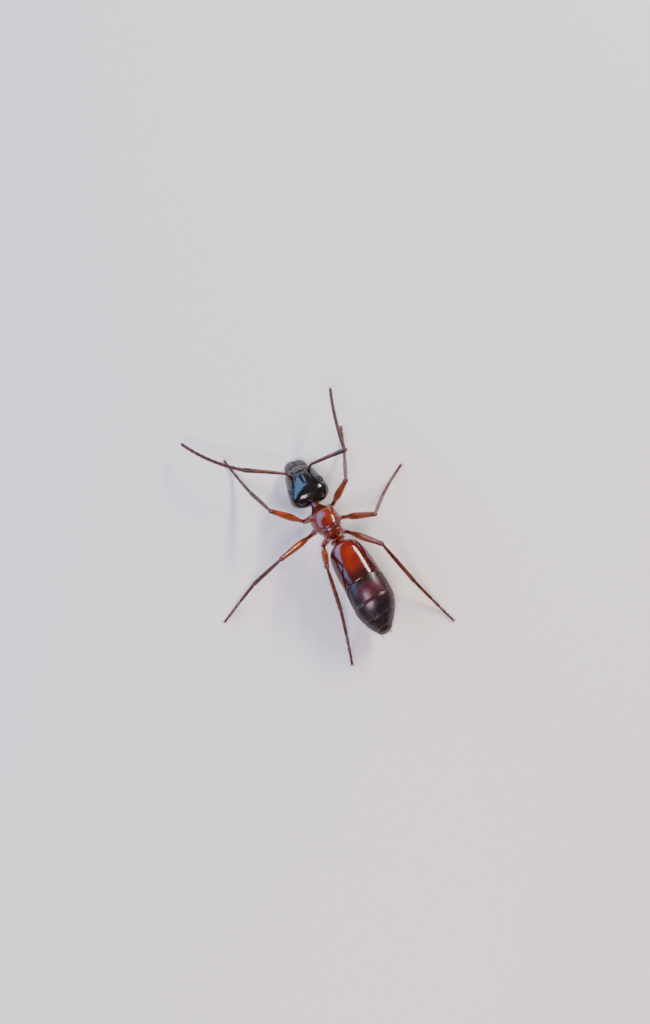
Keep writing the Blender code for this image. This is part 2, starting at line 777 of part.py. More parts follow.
def build_leg(ant, pair, label, trunk_room):
    plan = LEGS[pair]
    pose = plan[label]
    side = 1.0 if label == "left" else -1.0
    suffix = "%s_%s" % (pair, label)
    root_place, root_angle = plan["root"]
    angle = root_angle if side > 0.0 else 180.0 - root_angle
    root, outward = trunk_surface(root_place, angle)
    root_radius, tip_radius, coxa_length = plan["coxa"]
    heading, droop = pose["coxa"]
    direction = (heading_vector(heading, side, -droop) + outward * COXA_LEAN).normalized()
    start = root - outward * COXA_SINK
    hip = root + direction * coxa_length
    mesh = coxa_mesh("coxa_" + suffix, start, outward, hip, direction, root_radius, tip_radius)
    coxa = ant.piece("coxa_" + suffix, mesh, "orange_leg")
    cut_with(coxa, [trunk_room])

    femur_length, tibia_length, tarsus_length = plan["lengths"]
    heading, height = pose["femur"]
    knee = level_limb(hip, side, femur_length, heading, height)
    direction = (knee - hip).normalized()
    start = hip + direction * (tip_radius + GAP)
    finish = knee + direction * KNEE_RADIUS
    name = "femur_" + suffix
    mesh = limb_mesh(name, start, finish, FEMUR_RADII, LIMB_SIDES, FEMUR_DOME, KNEE_RADIUS, FEMUR_RINGS)
    ant.piece(name, mesh, "orange_leg")

    heading, height = pose["tibia"]
    ankle = level_limb(knee, side, tibia_length, heading, height)
    direction = (ankle - knee).normalized()
    start = knee + direction * (KNEE_RADIUS + GAP)
    finish = ankle + direction * ANKLE_RADIUS
    name = "tibia_" + suffix
    mesh = limb_mesh(name, start, finish, TIBIA_RADII, LIMB_SIDES, TIBIA_DOME, ANKLE_RADIUS, TIBIA_RINGS)
    ant.piece(name, mesh, "brown_leg")

    first_heading, last_heading = pose["tarsus"]
    path = tarsus_path(ankle, side, tarsus_length, first_heading, last_heading, TARSUS_BEADS)
    radii = tarsus_radii(TARSUS_BEADS)
    clear = next(i for i in range(TARSUS_BEADS) if (path[i] - ankle).length > ANKLE_RADIUS + GAP)
    keep = [clear] + [i for i in tarsus_rings(TARSUS_BEADS) if i > clear]
    name = "tarsus_" + suffix
    mesh = beaded_mesh(name, [path[i] for i in keep], [radii[i] for i in keep], TARSUS_SIDES, 0.0)
    ant.piece(name, mesh, "brown_leg")


def tarsus_ends(beads):
    """Index along the path at which each of the five segments ends."""
    ends = []
    total = 0.0
    for share in TARSUS_SHARES:
        total += share
        ends.append(round(total * beads))
    return ends


def tarsus_rings(beads):
    """Indices along the path that get a ring: both sides of each joint and the middles."""
    rings = []
    start = 0
    for end in tarsus_ends(beads):
        rings += [start + 1, (start + end) // 2, end - 1, end]
        start = end
    return sorted(set(rings))


def tarsus_radii(beads):
    ends = tarsus_ends(beads)
    radii = []
    for index in range(beads + 1):
        taper = TARSUS_RADIUS + (TARSUS_TIP_RADIUS - TARSUS_RADIUS) * index / beads
        radii.append(taper * (TARSUS_WAIST if index in ends else 1.0))
    return radii


def coxa_mesh(name, start, outward, hip, direction, root_radius, tip_radius):
    """Cone from a face on the trunk's flank to a round tip at the hip."""
    sections = []
    for step in range(COXA_STEPS + 1):
        share = step / COXA_STEPS
        centre = start.lerp(hip, share)
        normal = outward.lerp(direction, min(1.0, share * COXA_TURN)).normalized()
        side, rise = across_and_up(normal)
        radius = root_radius + (tip_radius - root_radius) * share**COXA_TAPER
        if step == 0:
            sections.append(Section(centre, side, rise, 0.0, 0.0))
            radius *= COXA_FOOT
        sections.append(Section(centre, side, rise, radius, radius))
    side, rise = across_and_up(direction)
    for ring in range(1, DOME_RINGS + 1):
        angle = 0.5 * math.pi * ring / DOME_RINGS
        radius = tip_radius * math.cos(angle) if ring < DOME_RINGS else 0.0
        centre = hip + direction * tip_radius * math.sin(angle)
        sections.append(Section(centre, side, rise, radius, radius))
    return loft_mesh(name, sections, COXA_SIDES)


def build():
    for item in list(bpy.data.objects):
        bpy.data.objects.remove(item)
    ant = Ant()
    frame = build_head(ant)
    for label, feeler in FEELERS.items():
        build_feeler(ant, label, feeler, frame)
    build_trunk(ant)
    build_petiole(ant)
    build_gaster(ant)
    trunk_room = ant.cutter("trunk_room", trunk_mesh("trunk_room", GAP))
    for pair in LEGS:
        for label in ("left", "right"):
            build_leg(ant, pair, label, trunk_room)
    ant.settle()


build()
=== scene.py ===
import math
import random

import bmesh
import bpy
from mathutils import Matrix, Vector


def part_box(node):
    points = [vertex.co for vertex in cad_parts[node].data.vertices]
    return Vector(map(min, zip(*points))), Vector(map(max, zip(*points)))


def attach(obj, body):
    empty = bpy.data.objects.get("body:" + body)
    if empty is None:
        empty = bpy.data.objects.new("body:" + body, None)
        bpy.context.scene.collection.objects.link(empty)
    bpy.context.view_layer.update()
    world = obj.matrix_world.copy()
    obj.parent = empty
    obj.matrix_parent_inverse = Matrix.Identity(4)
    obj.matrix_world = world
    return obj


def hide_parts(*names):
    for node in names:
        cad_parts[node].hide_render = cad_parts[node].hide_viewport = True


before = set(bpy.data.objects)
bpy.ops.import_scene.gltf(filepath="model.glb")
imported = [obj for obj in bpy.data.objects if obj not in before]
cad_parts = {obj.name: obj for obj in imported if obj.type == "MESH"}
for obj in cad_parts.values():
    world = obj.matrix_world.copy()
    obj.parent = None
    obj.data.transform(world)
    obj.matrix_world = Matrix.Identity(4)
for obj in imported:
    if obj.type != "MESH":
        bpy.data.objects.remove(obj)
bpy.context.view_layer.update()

mm = 0.001  # shapes are worked out in millimetres and made metres as each piece is finished
gap = 0.1  # what the solids keep between touching parts
random.seed(7)

# the ant's own origin lies under the front half of its trunk, forward is -Y and its left is +X
neckPlace = 1.44
low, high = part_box("pronotum")
shift = Vector(((low.x + high.x) / 2 / mm, low.y / mm + neckPlace, 0))


def way(forward, left, up):
    return Vector((left, -forward, up))


leftWay, upWay = way(0, 1, 0), way(0, 0, 1)
bothSides = {"left": 1, "right": -1}


def spot(forward, left, up):
    return way(forward, left, up) + shift


def headingWay(heading, side, rise=0.0):
    turn, tilt = math.radians(heading), math.radians(rise)
    return way(math.cos(tilt) * math.cos(turn), side * math.cos(tilt) * math.sin(turn), math.sin(tilt))


def mirrored(angle, side):
    angle = math.radians(angle)
    return angle if side > 0 else math.pi - angle


def slide(pair, share):
    return pair[0] + (pair[1] - pair[0]) * share


def ease(value, start, end):
    t = min(max((value - start) / (end - start), 0.0), 1.0)
    return t * t * (3 - 2 * t)


def hump(value, half):
    return math.exp(-((value / half) ** 2))


def arc(share):
    return math.sin(math.pi * share)


def shares(count):
    return [i / count for i in range(count + 1)]


def between(rows, place):
    # smooth values of the later columns, read at a place in the first one
    if rows[0][0] > rows[-1][0]:
        rows = rows[::-1]
    place = min(max(place, rows[0][0]), rows[-1][0])
    last = len(rows) - 2
    index = next((i for i in range(last + 1) if place <= rows[i + 1][0]), last)
    here, there = rows[index], rows[index + 1]
    before, after = rows[max(index - 1, 0)], rows[min(index + 2, len(rows) - 1)]
    span = there[0] - here[0]
    t = (place - here[0]) / span
    values = []
    for i in range(1, len(here)):
        slopeIn = (there[i] - before[i]) / (there[0] - before[0]) * span
        slopeOut = (after[i] - here[i]) / (after[0] - here[0]) * span
        values.append(
            here[i] * (2 * t**3 - 3 * t**2 + 1) + slopeIn * (t**3 - 2 * t**2 + t)
            + there[i] * (3 * t**2 - 2 * t**3) + slopeOut * (t**3 - t**2)
        )
    return values


def squareTo(direction):
    upright = upWay if abs(direction.z) < 0.95 else way(1, 0, 0)
    side = direction.cross(upright).normalized()
    return side, side.cross(direction).normalized()


def facing(across, along, out):
    return Matrix((across, along, out)).transposed().to_4x4()


class Oval:
    # one cross-section of a lofted form
    def __init__(self, place, centre, side, rise, wide, high=None, deep=None, square=2.0):
        self.place, self.centre, self.side, self.rise = place, centre, side, rise
        self.wide = wide
        self.high = wide if high is None else high
        self.deep = self.high if deep is None else deep
        self.square = square

    def at(self, angle):
        across, up = math.cos(angle), math.sin(angle)
        fit = (abs(across) ** self.square + abs(up) ** self.square) ** (-1 / self.square)
        reach = self.high if up > 0 else self.deep
        return self.centre + self.side * (across * fit * self.wide) + self.rise * (up * fit * reach)


def loft(ovals, sides, carve=None):
    # a ball whose rings are moved onto the cross-sections; the first and last become its poles
    shape = bmesh.new()
    last = len(ovals) - 1
    bmesh.ops.create_uvsphere(shape, u_segments=sides, v_segments=last, radius=1)
    placeLayer = shape.verts.layers.float.new("place")
    for vert in shape.verts:
        ring = round(math.acos(max(-1.0, min(1.0, vert.co.z))) / math.pi * last)
        oval = ovals[ring]
        angle = math.atan2(vert.co.y, vert.co.x)
        vert[placeLayer] = oval.place
        if ring in (0, last):
            vert.co = oval.centre
        else:
            vert.co = oval.at(angle)
            if carve:
                vert.co += carve(oval, angle)
    bmesh.ops.recalc_face_normals(shape, faces=shape.faces)
    return shape


def roundedShape(length, plan, ovalAt, carve=None):
    # a form with round ends; each step is a place and the share of its width that an end leaves there
    (frontDome, rearDome), rings = plan["domes"], plan["rings"]
    middle = length - frontDome - rearDome
    turns = [math.pi / 2 * share for share in shares(plan["domeRings"])]
    steps = [(frontDome * (1 - math.cos(turn)), math.sin(turn)) for turn in turns]
    steps += [(frontDome + middle * ring / (rings + 1), 1.0) for ring in range(1, rings + 1)]
    steps += [(length - rearDome * (1 - math.cos(turn)), math.sin(turn)) for turn in reversed(turns)]
    ovals = []
    for place, share in steps:
        oval = ovalAt(place)
        oval.wide, oval.high, oval.deep = oval.wide * share, oval.high * share, oval.deep * share
        ovals.append(oval)
    return loft(ovals, plan["sides"], carve)


def limbShape(start, finish, plan):
    # a gently bowed limb, its radius read from shares of its length
    direction = (finish - start).normalized()
    length = (finish - start).length
    side, rise = squareTo(direction)

    def limbOval(place):
        t = place / length
        radius = between(plan["radii"], t)[0]
        centre = start + direction * place + rise * (plan["bow"] * 4 * t * (1 - t))
        return Oval(t, centre, side, rise, radius * plan["flat"], radius)

    return roundedShape(length, plan, limbOval)


def tube(path, radii, sides, flat=1.0):
    # a limb along a list of points, with its poles in the end points
    last = len(path) - 1
    ovals = []
    for i, point in enumerate(path):
        direction = (path[min(i + 1, last)] - path[max(i - 1, 0)]).normalized()
        side, rise = squareTo(direction)
        ovals.append(Oval(i / last, point, side, rise, radii[i] * flat, radii[i]))
    first, end = ovals[0], ovals[-1]
    ovals.insert(0, Oval(0.0, first.centre, first.side, first.rise, 0.0))
    ovals.append(Oval(1.0, end.centre, end.side, end.rise, 0.0))
    return loft(ovals, sides)


def toMesh(name, shape):
    mesh = bpy.data.meshes.new(name)
    shape.to_mesh(mesh)
    shape.free()
    return mesh


def joinShapes(whole, *others):
    for other in others:
        mesh = toMesh("joined", other)
        whole.from_mesh(mesh)
        bpy.data.meshes.remove(mesh)
    return whole


def rimRing(centre, axis, radius, thick, steps, sides=10):
    # a rounded rim that stands on the surface round a socket or an opening
    shape = bmesh.new()
    side, rise = squareTo(axis)
    profile = facing(side, axis, rise) @ Matrix.Rotation(math.pi / 2, 4, "X")
    bmesh.ops.create_circle(shape, segments=sides, radius=thick, matrix=profile)
    bmesh.ops.translate(shape, vec=centre + side * radius, verts=shape.verts)
    bmesh.ops.spin(
        shape, geom=shape.verts[:] + shape.edges[:], cent=centre, axis=axis,
        angle=math.tau, steps=steps, use_merge=True,
    )
    bmesh.ops.remove_doubles(shape, verts=shape.verts, dist=1e-5)
    bmesh.ops.recalc_face_normals(shape, faces=shape.faces)
    return shape


def addObject(name, data):
    made = bpy.data.objects.new(name, data)
    bpy.context.scene.collection.objects.link(made)
    return made


def makePiece(name, shape, finish, slot, nodes=(), place=None, crease=None):
    if place is not None:
        bmesh.ops.transform(shape, matrix=place, verts=shape.verts)
    bmesh.ops.scale(shape, vec=(mm, mm, mm), verts=shape.verts)
    mesh = toMesh(name, shape)
    mesh.shade_smooth()
    if crease is not None:
        mesh.set_sharp_from_angle(angle=math.radians(crease))
    mesh.materials.append(finishes[finish])
    piece = addObject(name, mesh)
    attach(piece, "root")
    if nodes:
        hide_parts(*nodes)


class Wire:
    # a socket that can be used in sums
    def __init__(self, sheet, socket):
        self.sheet, self.socket = sheet, socket

    def maths(self, operation, *values):
        return self.sheet.node("ShaderNodeMath", {"operation": operation}, dict(enumerate(values)))

    def __add__(self, other):
        return self.maths("ADD", self, other)

    def __radd__(self, other):
        return self.maths("ADD", other, self)

    def __sub__(self, other):
        return self.maths("SUBTRACT", self, other)

    def __rsub__(self, other):
        return self.maths("SUBTRACT", other, self)

    def __mul__(self, other):
        return self.maths("MULTIPLY", self, other)

    def __rmul__(self, other):
        return self.maths("MULTIPLY", other, self)

    def __abs__(self):
        return self.maths("ABSOLUTE", self)


class Finish:
    def __init__(self, name):
        self.material = bpy.data.materials.new(name)
        self.material.use_nodes = True
        self.tree = self.material.node_tree
        self.shader = self.tree.nodes["Principled BSDF"]
        self.coords = self.node("ShaderNodeTexCoord", output="Object")

    def node(self, kind, settings=None, inputs=None, output=0):
        made = self.tree.nodes.new(kind)
        for key, value in (settings or {}).items():
            setattr(made, key, value)
        for key, value in (inputs or {}).items():
            self.feed(made.inputs[key], value)
        return Wire(self, made.outputs[output])

    def feed(self, socket, value):
        if isinstance(value, Wire):
            self.tree.links.new(value.socket, socket)
        elif isinstance(value, tuple) and socket.type == "RGBA":
            socket.default_value = (*value, 1)
        else:
            socket.default_value = value

    def set(self, **values):
        for name, value in values.items():
            self.feed(self.shader.inputs[name.replace("_", " ")], value)

    def axis(self, name):
        return self.node("ShaderNodeSeparateXYZ", {}, {"Vector": self.coords}, name)

    def noise(self, size, detail=2.0, stretch=None):
        # size is the width of one patch in millimetres
        vector = self.coords
        if stretch:
            vector = self.node("ShaderNodeMapping", {}, {"Vector": self.coords, "Scale": stretch})
        return self.node("ShaderNodeTexNoise", {}, {"Vector": vector, "Scale": 1 / (size * mm), "Detail": detail})

    def ragged(self, value, size, amount):
        # a value that wavers, so that its edges aren't straight
        return value + (self.noise(size) - 0.5) * amount

    def cells(self, size):
        feature = {"feature": "DISTANCE_TO_EDGE"}
        return self.node("ShaderNodeTexVoronoi", feature, {"Vector": self.coords, "Scale": 1 / (size * mm)})

    def mix(self, factor, first, second):
        return self.node("ShaderNodeMix", {"data_type": "RGBA"}, {0: factor, 6: first, 7: second}, 2)

    def span(self, value, start, end):
        # a value turned into 0 at start and 1 at end, held beyond them
        return self.node(
            "ShaderNodeMapRange", {"interpolation_type": "SMOOTHSTEP"},
            {"Value": value, "From Min": start, "From Max": end},
        )

    def bump(self, height, depth):
        # depth is in millimetres
        return self.node("ShaderNodeBump", {}, {"Height": height, "Distance": depth * mm})


# shared by the shells: noise detail, where each mask starts and ends, and what each adds to the relief
grain = {
    "patchDetail": 4.0, "patches": (0.38, 0.66), "net": (0.0, 0.12), "netShare": 0.6, "fine": 0.6,
    "fineShare": 0.4, "wornSize": 0.5, "wornDetail": 5.0, "worn": (0.4, 0.75),
    "flankWaver": (0.5, 0.25), "endWaver": (0.25, 0.06),
}


def shellFinish(
    name, dark, light, patch, cell, rough, relief, coat, coatRough,
    fades=(), paintedSideShade=None, ends=None, ribs=None, seam=None, seamPlanes=(),
):
    # polished cuticle: patches of two colours, a fine net of scale-like cells and pits; its darker sides and some
    # of its fades are painted shade
    finish = Finish(name)
    patches = finish.span(finish.noise(patch, grain["patchDetail"]), *grain["patches"])
    colour = finish.mix(patches, dark, light)
    # some of these fades are painted shade: the neck under the head, the front of the second gaster plate and the
    # gaster's rear
    for start, end, ragged, fadeDark, fadeLight in fades:
        along = finish.ragged(finish.axis("Y"), ragged, ragged * mm)
        share = finish.span(along, spot(start, 0, 0).y * mm, spot(end, 0, 0).y * mm)
        colour = finish.mix(share, colour, finish.mix(patches, fadeDark, fadeLight))
    # the sides grow darker away from the middle line: painted shade, with the coat thinned there where asked
    if paintedSideShade:
        size, amount = grain["flankWaver"]
        aside = finish.ragged(abs(finish.axis("X") - shift.x * mm), size, amount * mm)
        share = finish.span(aside, paintedSideShade["start"] * mm, paintedSideShade["end"] * mm)
        colour = finish.mix(share * paintedSideShade["strength"], colour, paintedSideShade["colour"])
        if "polish" in paintedSideShade:
            coat = coat * (1 - share * paintedSideShade["polish"])
    if ends:
        # joints are darker than the shafts between them
        place = finish.node("ShaderNodeAttribute", {"attribute_name": "place"}, output="Fac")
        along = finish.ragged(place, *grain["endWaver"])
        share = finish.span(along, *ends["far"]) * ends["farShare"]
        if "near" in ends:
            share = share + (1 - finish.span(along, *ends["near"])) * ends["nearShare"]
        colour = finish.mix(share, colour, ends["colour"])
    for point, normal in seamPlanes:
        # the line of a seam is darker than the plates on its two sides
        inputs = {0: finish.coords, 1: tuple(normal)}
        reach = finish.node("ShaderNodeVectorMath", {"operation": "DOT_PRODUCT"}, inputs, "Value")
        share = finish.span(abs(reach - point.dot(normal) * mm), seam["wide"] * mm, seam["sharp"] * mm)
        colour = finish.mix(share * seam["strength"], colour, seam["colour"])
    net = finish.span(finish.cells(cell), *grain["net"])
    height = net * grain["netShare"] + finish.noise(cell * grain["fine"]) * grain["fineShare"]
    if ribs:
        height = height + finish.noise(ribs["size"], ribs["detail"], ribs["stretch"]) * ribs["share"]
    worn = finish.span(finish.noise(patch * grain["wornSize"], grain["wornDetail"]), *grain["worn"])
    finish.set(
        Base_Color=colour, Roughness=slide(rough, worn), Normal=finish.bump(height, relief),
        Coat_Weight=coat, Coat_Roughness=coatRough, IOR=1.5,
    )
    return finish.material


looks = {
    # dark and light colour, width of patches and of cells (mm), roughness, relief (mm), coat and its roughness
    "blackShell": [(0.003, 0.0024, 0.0028), (0.0095, 0.0065, 0.0065), 0.9, 0.024, (0.09, 0.16), 0.0006, 0.35, 0.06],
    "jawShell": [(0.010, 0.004, 0.003), (0.036, 0.009, 0.005), 0.4, 0.026, (0.18, 0.30), 0.0026, 0.1, 0.15],
    "orangeShell": [(0.155, 0.0105, 0.0025), (0.25, 0.022, 0.0035), 0.8, 0.026, (0.13, 0.24), 0.0008, 0.35, 0.08],
    "coxaShell": [(0.13, 0.012, 0.004), (0.23, 0.028, 0.006), 0.6, 0.026, (0.18, 0.28), 0.0009, 0.3, 0.11],
    "redShell": [(0.180, 0.0105, 0.0013), (0.27, 0.020, 0.0020), 0.8, 0.028, (0.07, 0.13), 0.0006, 0.7, 0.045],
    "purpleShell": [(0.036, 0.0038, 0.0062), (0.064, 0.0068, 0.0112), 0.9, 0.028, (0.27, 0.38), 0.0009, 0.12, 0.22],
    # orangeLeg colours sit below the legs' own orange, darkened in part as painted shade
    "orangeLeg": [(0.20, 0.031, 0.005), (0.305, 0.055, 0.0085), 0.9, 0.024, (0.20, 0.31), 0.0009, 0.2, 0.15],
    "brownLeg": [(0.062, 0.012, 0.006), (0.125, 0.025, 0.011), 0.7, 0.024, (0.24, 0.36), 0.0011, 0.15, 0.18],
    "feelerShell": [(0.055, 0.011, 0.006), (0.105, 0.022, 0.010), 0.5, 0.02, (0.46, 0.58), 0.0012, 0.0, 0.3],
    "clawShell": [(0.08, 0.016, 0.008), (0.20, 0.050, 0.018), 0.2, 0.024, (0.2, 0.3), 0.001, 0.3, 0.12],
}
extras = {
    # a fade is where it starts and ends, how ragged it is, and the dark and light colour that it ends in
    "jawShell": {"ribs": {"size": 0.05, "detail": 1.0, "stretch": (1.0, 0.18, 1.0), "share": 1.5}},
    "orangeShell": {
        "seam": {"wide": 0.055, "sharp": 0.008, "strength": 0.8, "colour": (0.030, 0.004, 0.002)},
        "fades": [
            (0.2, -0.6, 0.35, (0.105, 0.0075, 0.003), (0.19, 0.0145, 0.0035)),
            # painted shade: the neck and the trunk's front darken where the head shades them
            (0.55, 1.15, 0.3, (0.050, 0.006, 0.003), (0.10, 0.012, 0.004)),
        ],
        # painted shade: the trunk's sides darker than its back
        "paintedSideShade": {"start": 0.38, "end": 0.84, "strength": 0.65, "colour": (0.085, 0.006, 0.003)},
    },
    "coxaShell": {"ends": {"far": (0.80, 0.97), "farShare": 0.6, "colour": (0.07, 0.009, 0.005)}},
    "redShell": {
        "fades": [(-2.80, -3.50, 0.4, (0.032, 0.003, 0.002), (0.058, 0.005, 0.003))],
        # painted shade: the first gaster plate's sides darker than its middle, where the coat is also thinner
        "paintedSideShade": {"start": 0.26, "end": 0.80, "strength": 0.95, "polish": 0.6, "colour": (0.056, 0.004, 0.0022)},
    },
    "purpleShell": {
        "fades": [
            # painted shadow: the front of the second gaster plate darkens where the first plate shades it
            (-4.35, -3.88, 0.4, (0.009, 0.0022, 0.0016), (0.020, 0.0036, 0.0024)),
            # painted shade: the gaster darkens towards its tip
            (-4.7, -5.6, 0.6, (0.0045, 0.0022, 0.0042), (0.013, 0.0045, 0.0095)),
        ],
        # painted shade: the sides of the rear plates darker than their backs
        "paintedSideShade": {"start": 0.62, "end": 1.15, "strength": 0.85, "colour": (0.010, 0.0024, 0.0022)},
    },
    "orangeLeg": {"ends": {
        "far": (0.78, 0.97), "farShare": 0.8, "near": (0.02, 0.18), "nearShare": 0.55,
        "colour": (0.085, 0.013, 0.006),
    }},
    "brownLeg": {"ends": {
        "far": (0.84, 0.98), "farShare": 0.6, "near": (0.02, 0.14), "nearShare": 0.6,
        "colour": (0.040, 0.009, 0.006),
    }},
}
# the trunk's finish waits for the planes of its seams
finishes = {
    name: shellFinish(name, *look, **extras.get(name, {}))
    for name, look in looks.items() if name != "orangeShell"
}


eyeLook = {
    "dark": (0.006, 0.005, 0.006), "light": (0.030, 0.018, 0.014), "patch": 0.15, "tone": (0.3, 0.7),
    "rough": (0.12, 0.24), "wear": 0.06, "coat": 0.6, "coatRough": 0.08, "ior": 1.5,
}
bristleLook = {
    "dark": (0.20, 0.080, 0.020), "light": (0.46, 0.24, 0.075), "patch": 0.5, "tone": (0.3, 0.7),
    "rough": (0.32, 0.44), "coat": 0.0, "coatRough": 0.03, "ior": 1.55,
}


def plainFinish(name, look):
    # patches of two colours; the roughness follows a noise of its own, or else the patches
    finish = Finish(name)
    tone = finish.span(finish.noise(look["patch"]), *look["tone"])
    wear = finish.noise(look["wear"]) if "wear" in look else tone
    finish.set(
        Base_Color=finish.mix(tone, look["dark"], look["light"]), Roughness=slide(look["rough"], wear),
        Coat_Weight=look["coat"], Coat_Roughness=look["coatRough"], IOR=look["ior"],
    )
    return finish.material


finishes["eyeLens"] = plainFinish("eyeLens", eyeLook)
finishes["bristle"] = plainFinish("bristle", bristleLook)
print("finishes ready")


class Skin:
    # a form that can be asked for points on its surface and for their outward directions
    def __init__(self, ovalAt, first, last):
        self.ovalAt, self.first, self.last = ovalAt, first, last

    def root(self, place, angle):
        step, turn = 0.01 * (self.last - self.first), 0.03
        oval = self.ovalAt(place)
        here = oval.at(angle)
        along = self.ovalAt(place + step).at(angle) - self.ovalAt(place - step).at(angle)
        outward = along.cross(oval.at(angle + turn) - oval.at(angle - turn)).normalized()
        if outward.dot(here - oval.centre) < 0:
            outward = -outward
        return here, outward, along.normalized()


headPlan = {
    "length": 2.75, "level": 1.98, "pitch": 25.0, "turn": -8.0,
    "domes": (0.22, 0.62), "domeRings": 10, "rings": 84, "sides": 176,
    "stations": [
        # place from the front, half width, height above and depth below the middle, squareness
        (0.00, 0.70, 0.30, 0.20, 2.6),
        (0.45, 0.92, 0.50, 0.34, 2.4),
        (0.95, 1.03, 0.66, 0.52, 2.3),
        (1.50, 1.15, 0.76, 0.66, 2.2),
        (1.95, 1.20, 0.80, 0.72, 2.2),
        (2.35, 1.17, 0.76, 0.70, 2.3),
        (2.75, 1.08, 0.66, 0.62, 2.4),
    ],
    "midline": 4.0,
    "clypeus": {
        "back": 0.66, "outline": [(0.0, 0.56), (0.2, 0.56), (0.42, 0.46), (0.58, 0.33), (0.7, 0.24)],
        "raise": 0.032, "edge": 0.09, "groove": 0.030, "grooveWide": 0.03, "ridge": 0.022,
        "ridgeEnd": (0.46, 0.61),
    },
    "lobe": {"reach": 0.13, "half": 34.0, "end": 0.34},
    "furrow": {"start": 0.78, "end": 1.75, "depth": 0.016},
    "carina": {
        "along": (0.66, 1.62), "across": (0.26, 0.47), "spread": 0.75, "hook": 0.05, "hookStart": 0.7,
        "lift": 0.004, "wide": 0.045, "swell": (0.25, 1.0), "phase": (0.12, 0.97), "flat": 0.8,
        "steps": 18, "sides": 12,
    },
    "socket": {"station": 0.72, "angle": 58.0, "radius": 0.165, "rim": 0.035, "steps": 28},
}
headPlace = (
    Matrix.Translation(spot(neckPlace + gap, 0, headPlan["level"]))
    @ Matrix.Rotation(math.radians(headPlan["turn"]), 4, "Z")
    @ Matrix.Rotation(math.radians(headPlan["pitch"]), 4, "X")
)


def headOval(place):
    centre = way(headPlan["length"] - place, 0, 0)
    return Oval(place, centre, leftWay, upWay, *between(headPlan["stations"], place))


headSkin = Skin(headOval, 0.0, headPlan["length"])


def carveHead(oval, angle):
    # the front margin hangs over the jaws; behind it a plate stands in a groove, with a ridge along its middle
    furrow, lobe, clypeus = headPlan["furrow"], headPlan["lobe"], headPlan["clypeus"]
    aside = math.degrees(angle) - 90
    full = oval.wide / headOval(oval.place).wide
    forward = lobe["reach"] * full * full * (1 - ease(oval.place, 0.0, lobe["end"])) * hump(aside, lobe["half"])
    middle = hump(aside, headPlan["midline"])
    rise = clypeus["ridge"] * middle * (1 - ease(oval.place, *clypeus["ridgeEnd"])) * full
    if furrow["start"] < oval.place < furrow["end"]:
        share = arc((oval.place - furrow["start"]) / (furrow["end"] - furrow["start"]))
        rise -= furrow["depth"] * share * middle
    if angle > 0:
        across = abs(oval.at(angle).x)
        inside = min(between(clypeus["outline"], oval.place)[0] - across, clypeus["back"] - oval.place)
        plate = clypeus["raise"] * ease(inside, 0.0, clypeus["edge"])
        rise += (plate - clypeus["groove"] * hump(inside, clypeus["grooveWide"])) * full
    return way(forward, 0, rise)


def headShape():
    plan, carina, socket = headPlan, headPlan["carina"], headPlan["socket"]
    shape = roundedShape(plan["length"], plan, headOval, carveHead)
    for side in (1, -1):
        path, radii = [], []
        for t in shares(carina["steps"]):
            place = slide(carina["along"], t)
            across = slide(carina["across"], ease(t, 0.0, carina["spread"]))
            across -= carina["hook"] * ease(t, carina["hookStart"], 1.0)
            angle = math.acos(across / headOval(place).wide)
            point, outward, _ = headSkin.root(place, angle if side > 0 else math.pi - angle)
            path.append(point + outward * carina["lift"])
            radii.append(carina["wide"] * slide(carina["swell"], arc(slide(carina["phase"], t))))
        point, outward, _ = headSkin.root(socket["station"], mirrored(socket["angle"], side))
        rim = rimRing(point, outward, socket["radius"], socket["rim"], socket["steps"])
        joinShapes(shape, tube(path, radii, carina["sides"], carina["flat"]), rim)
    return shape


makePiece("headSkin", headShape(), "blackShell", "black_shell", ["head"], headPlace)


eyePlan = {
    "station": 1.62, "angle": 40.0, "length": 0.56, "width": 0.46, "thick": 0.30, "sink": 0.02,
    "cut": -0.35, "fineness": 4, "lensCorner": 33.0, "lensRim": 0.012, "crease": 25,
}


def eyeShape(side):
    # a flattened dome of six-sided lenses, each one swollen
    plan = eyePlan
    point, outward, _ = headSkin.root(plan["station"], mirrored(plan["angle"], side))
    forward = (way(1, 0, 0) - outward * outward.dot(way(1, 0, 0))).normalized()
    shape = bmesh.new()
    bmesh.ops.create_icosphere(shape, subdivisions=plan["fineness"], radius=1)
    bmesh.ops.delete(shape, geom=[v for v in shape.verts if v.co.z < plan["cut"]], context="VERTS")
    bmesh.ops.bevel(
        shape, geom=[v for v in shape.verts if not v.is_boundary], affect="VERTICES", offset=plan["lensCorner"],
        offset_type="PERCENT", segments=1, profile=0.5, material=-1, clamp_overlap=True,
    )
    lenses = [face for face in shape.faces if len(face.verts) > 4]
    bmesh.ops.inset_individual(
        shape, faces=lenses, thickness=plan["lensRim"], depth=plan["lensRim"], use_even_offset=True,
    )
    bmesh.ops.holes_fill(shape, edges=[edge for edge in shape.edges if edge.is_boundary])
    bmesh.ops.recalc_face_normals(shape, faces=shape.faces)
    size = Vector((plan["length"], plan["width"], plan["thick"])) / 2
    bmesh.ops.scale(shape, vec=size, verts=shape.verts)
    place = Matrix.Translation(point - outward * plan["sink"]) @ facing(forward, outward.cross(forward), outward)
    bmesh.ops.transform(shape, matrix=place, verts=shape.verts)
    return shape


jawPlan = {
    "length": 0.86, "outer": 0.70, "inner": 0.13, "middle": 0.03, "gum": 0.20, "level": -0.04, "tilt": 12.0,
    "sunk": 0.32, "thick": [(-0.32, 0.17), (0.0, 0.18), (0.4, 0.155), (0.7, 0.115), (0.86, 0.05)],
    "cross": 0.03, "droop": 0.08, "crowding": 1.3, "roundness": 0.85, "square": 2.2,
    "rings": 26, "sides": 32, "crease": 50,
    "teeth": {
        "count": 5, "length": 0.11, "radius": 0.045, "tip": 0.012, "aim": (0.55, -0.05), "sides": 12,
        "spare": 0.2, "first": 0.35, "firstSize": 1.15, "size": 0.9, "smaller": 0.08,
    },
}


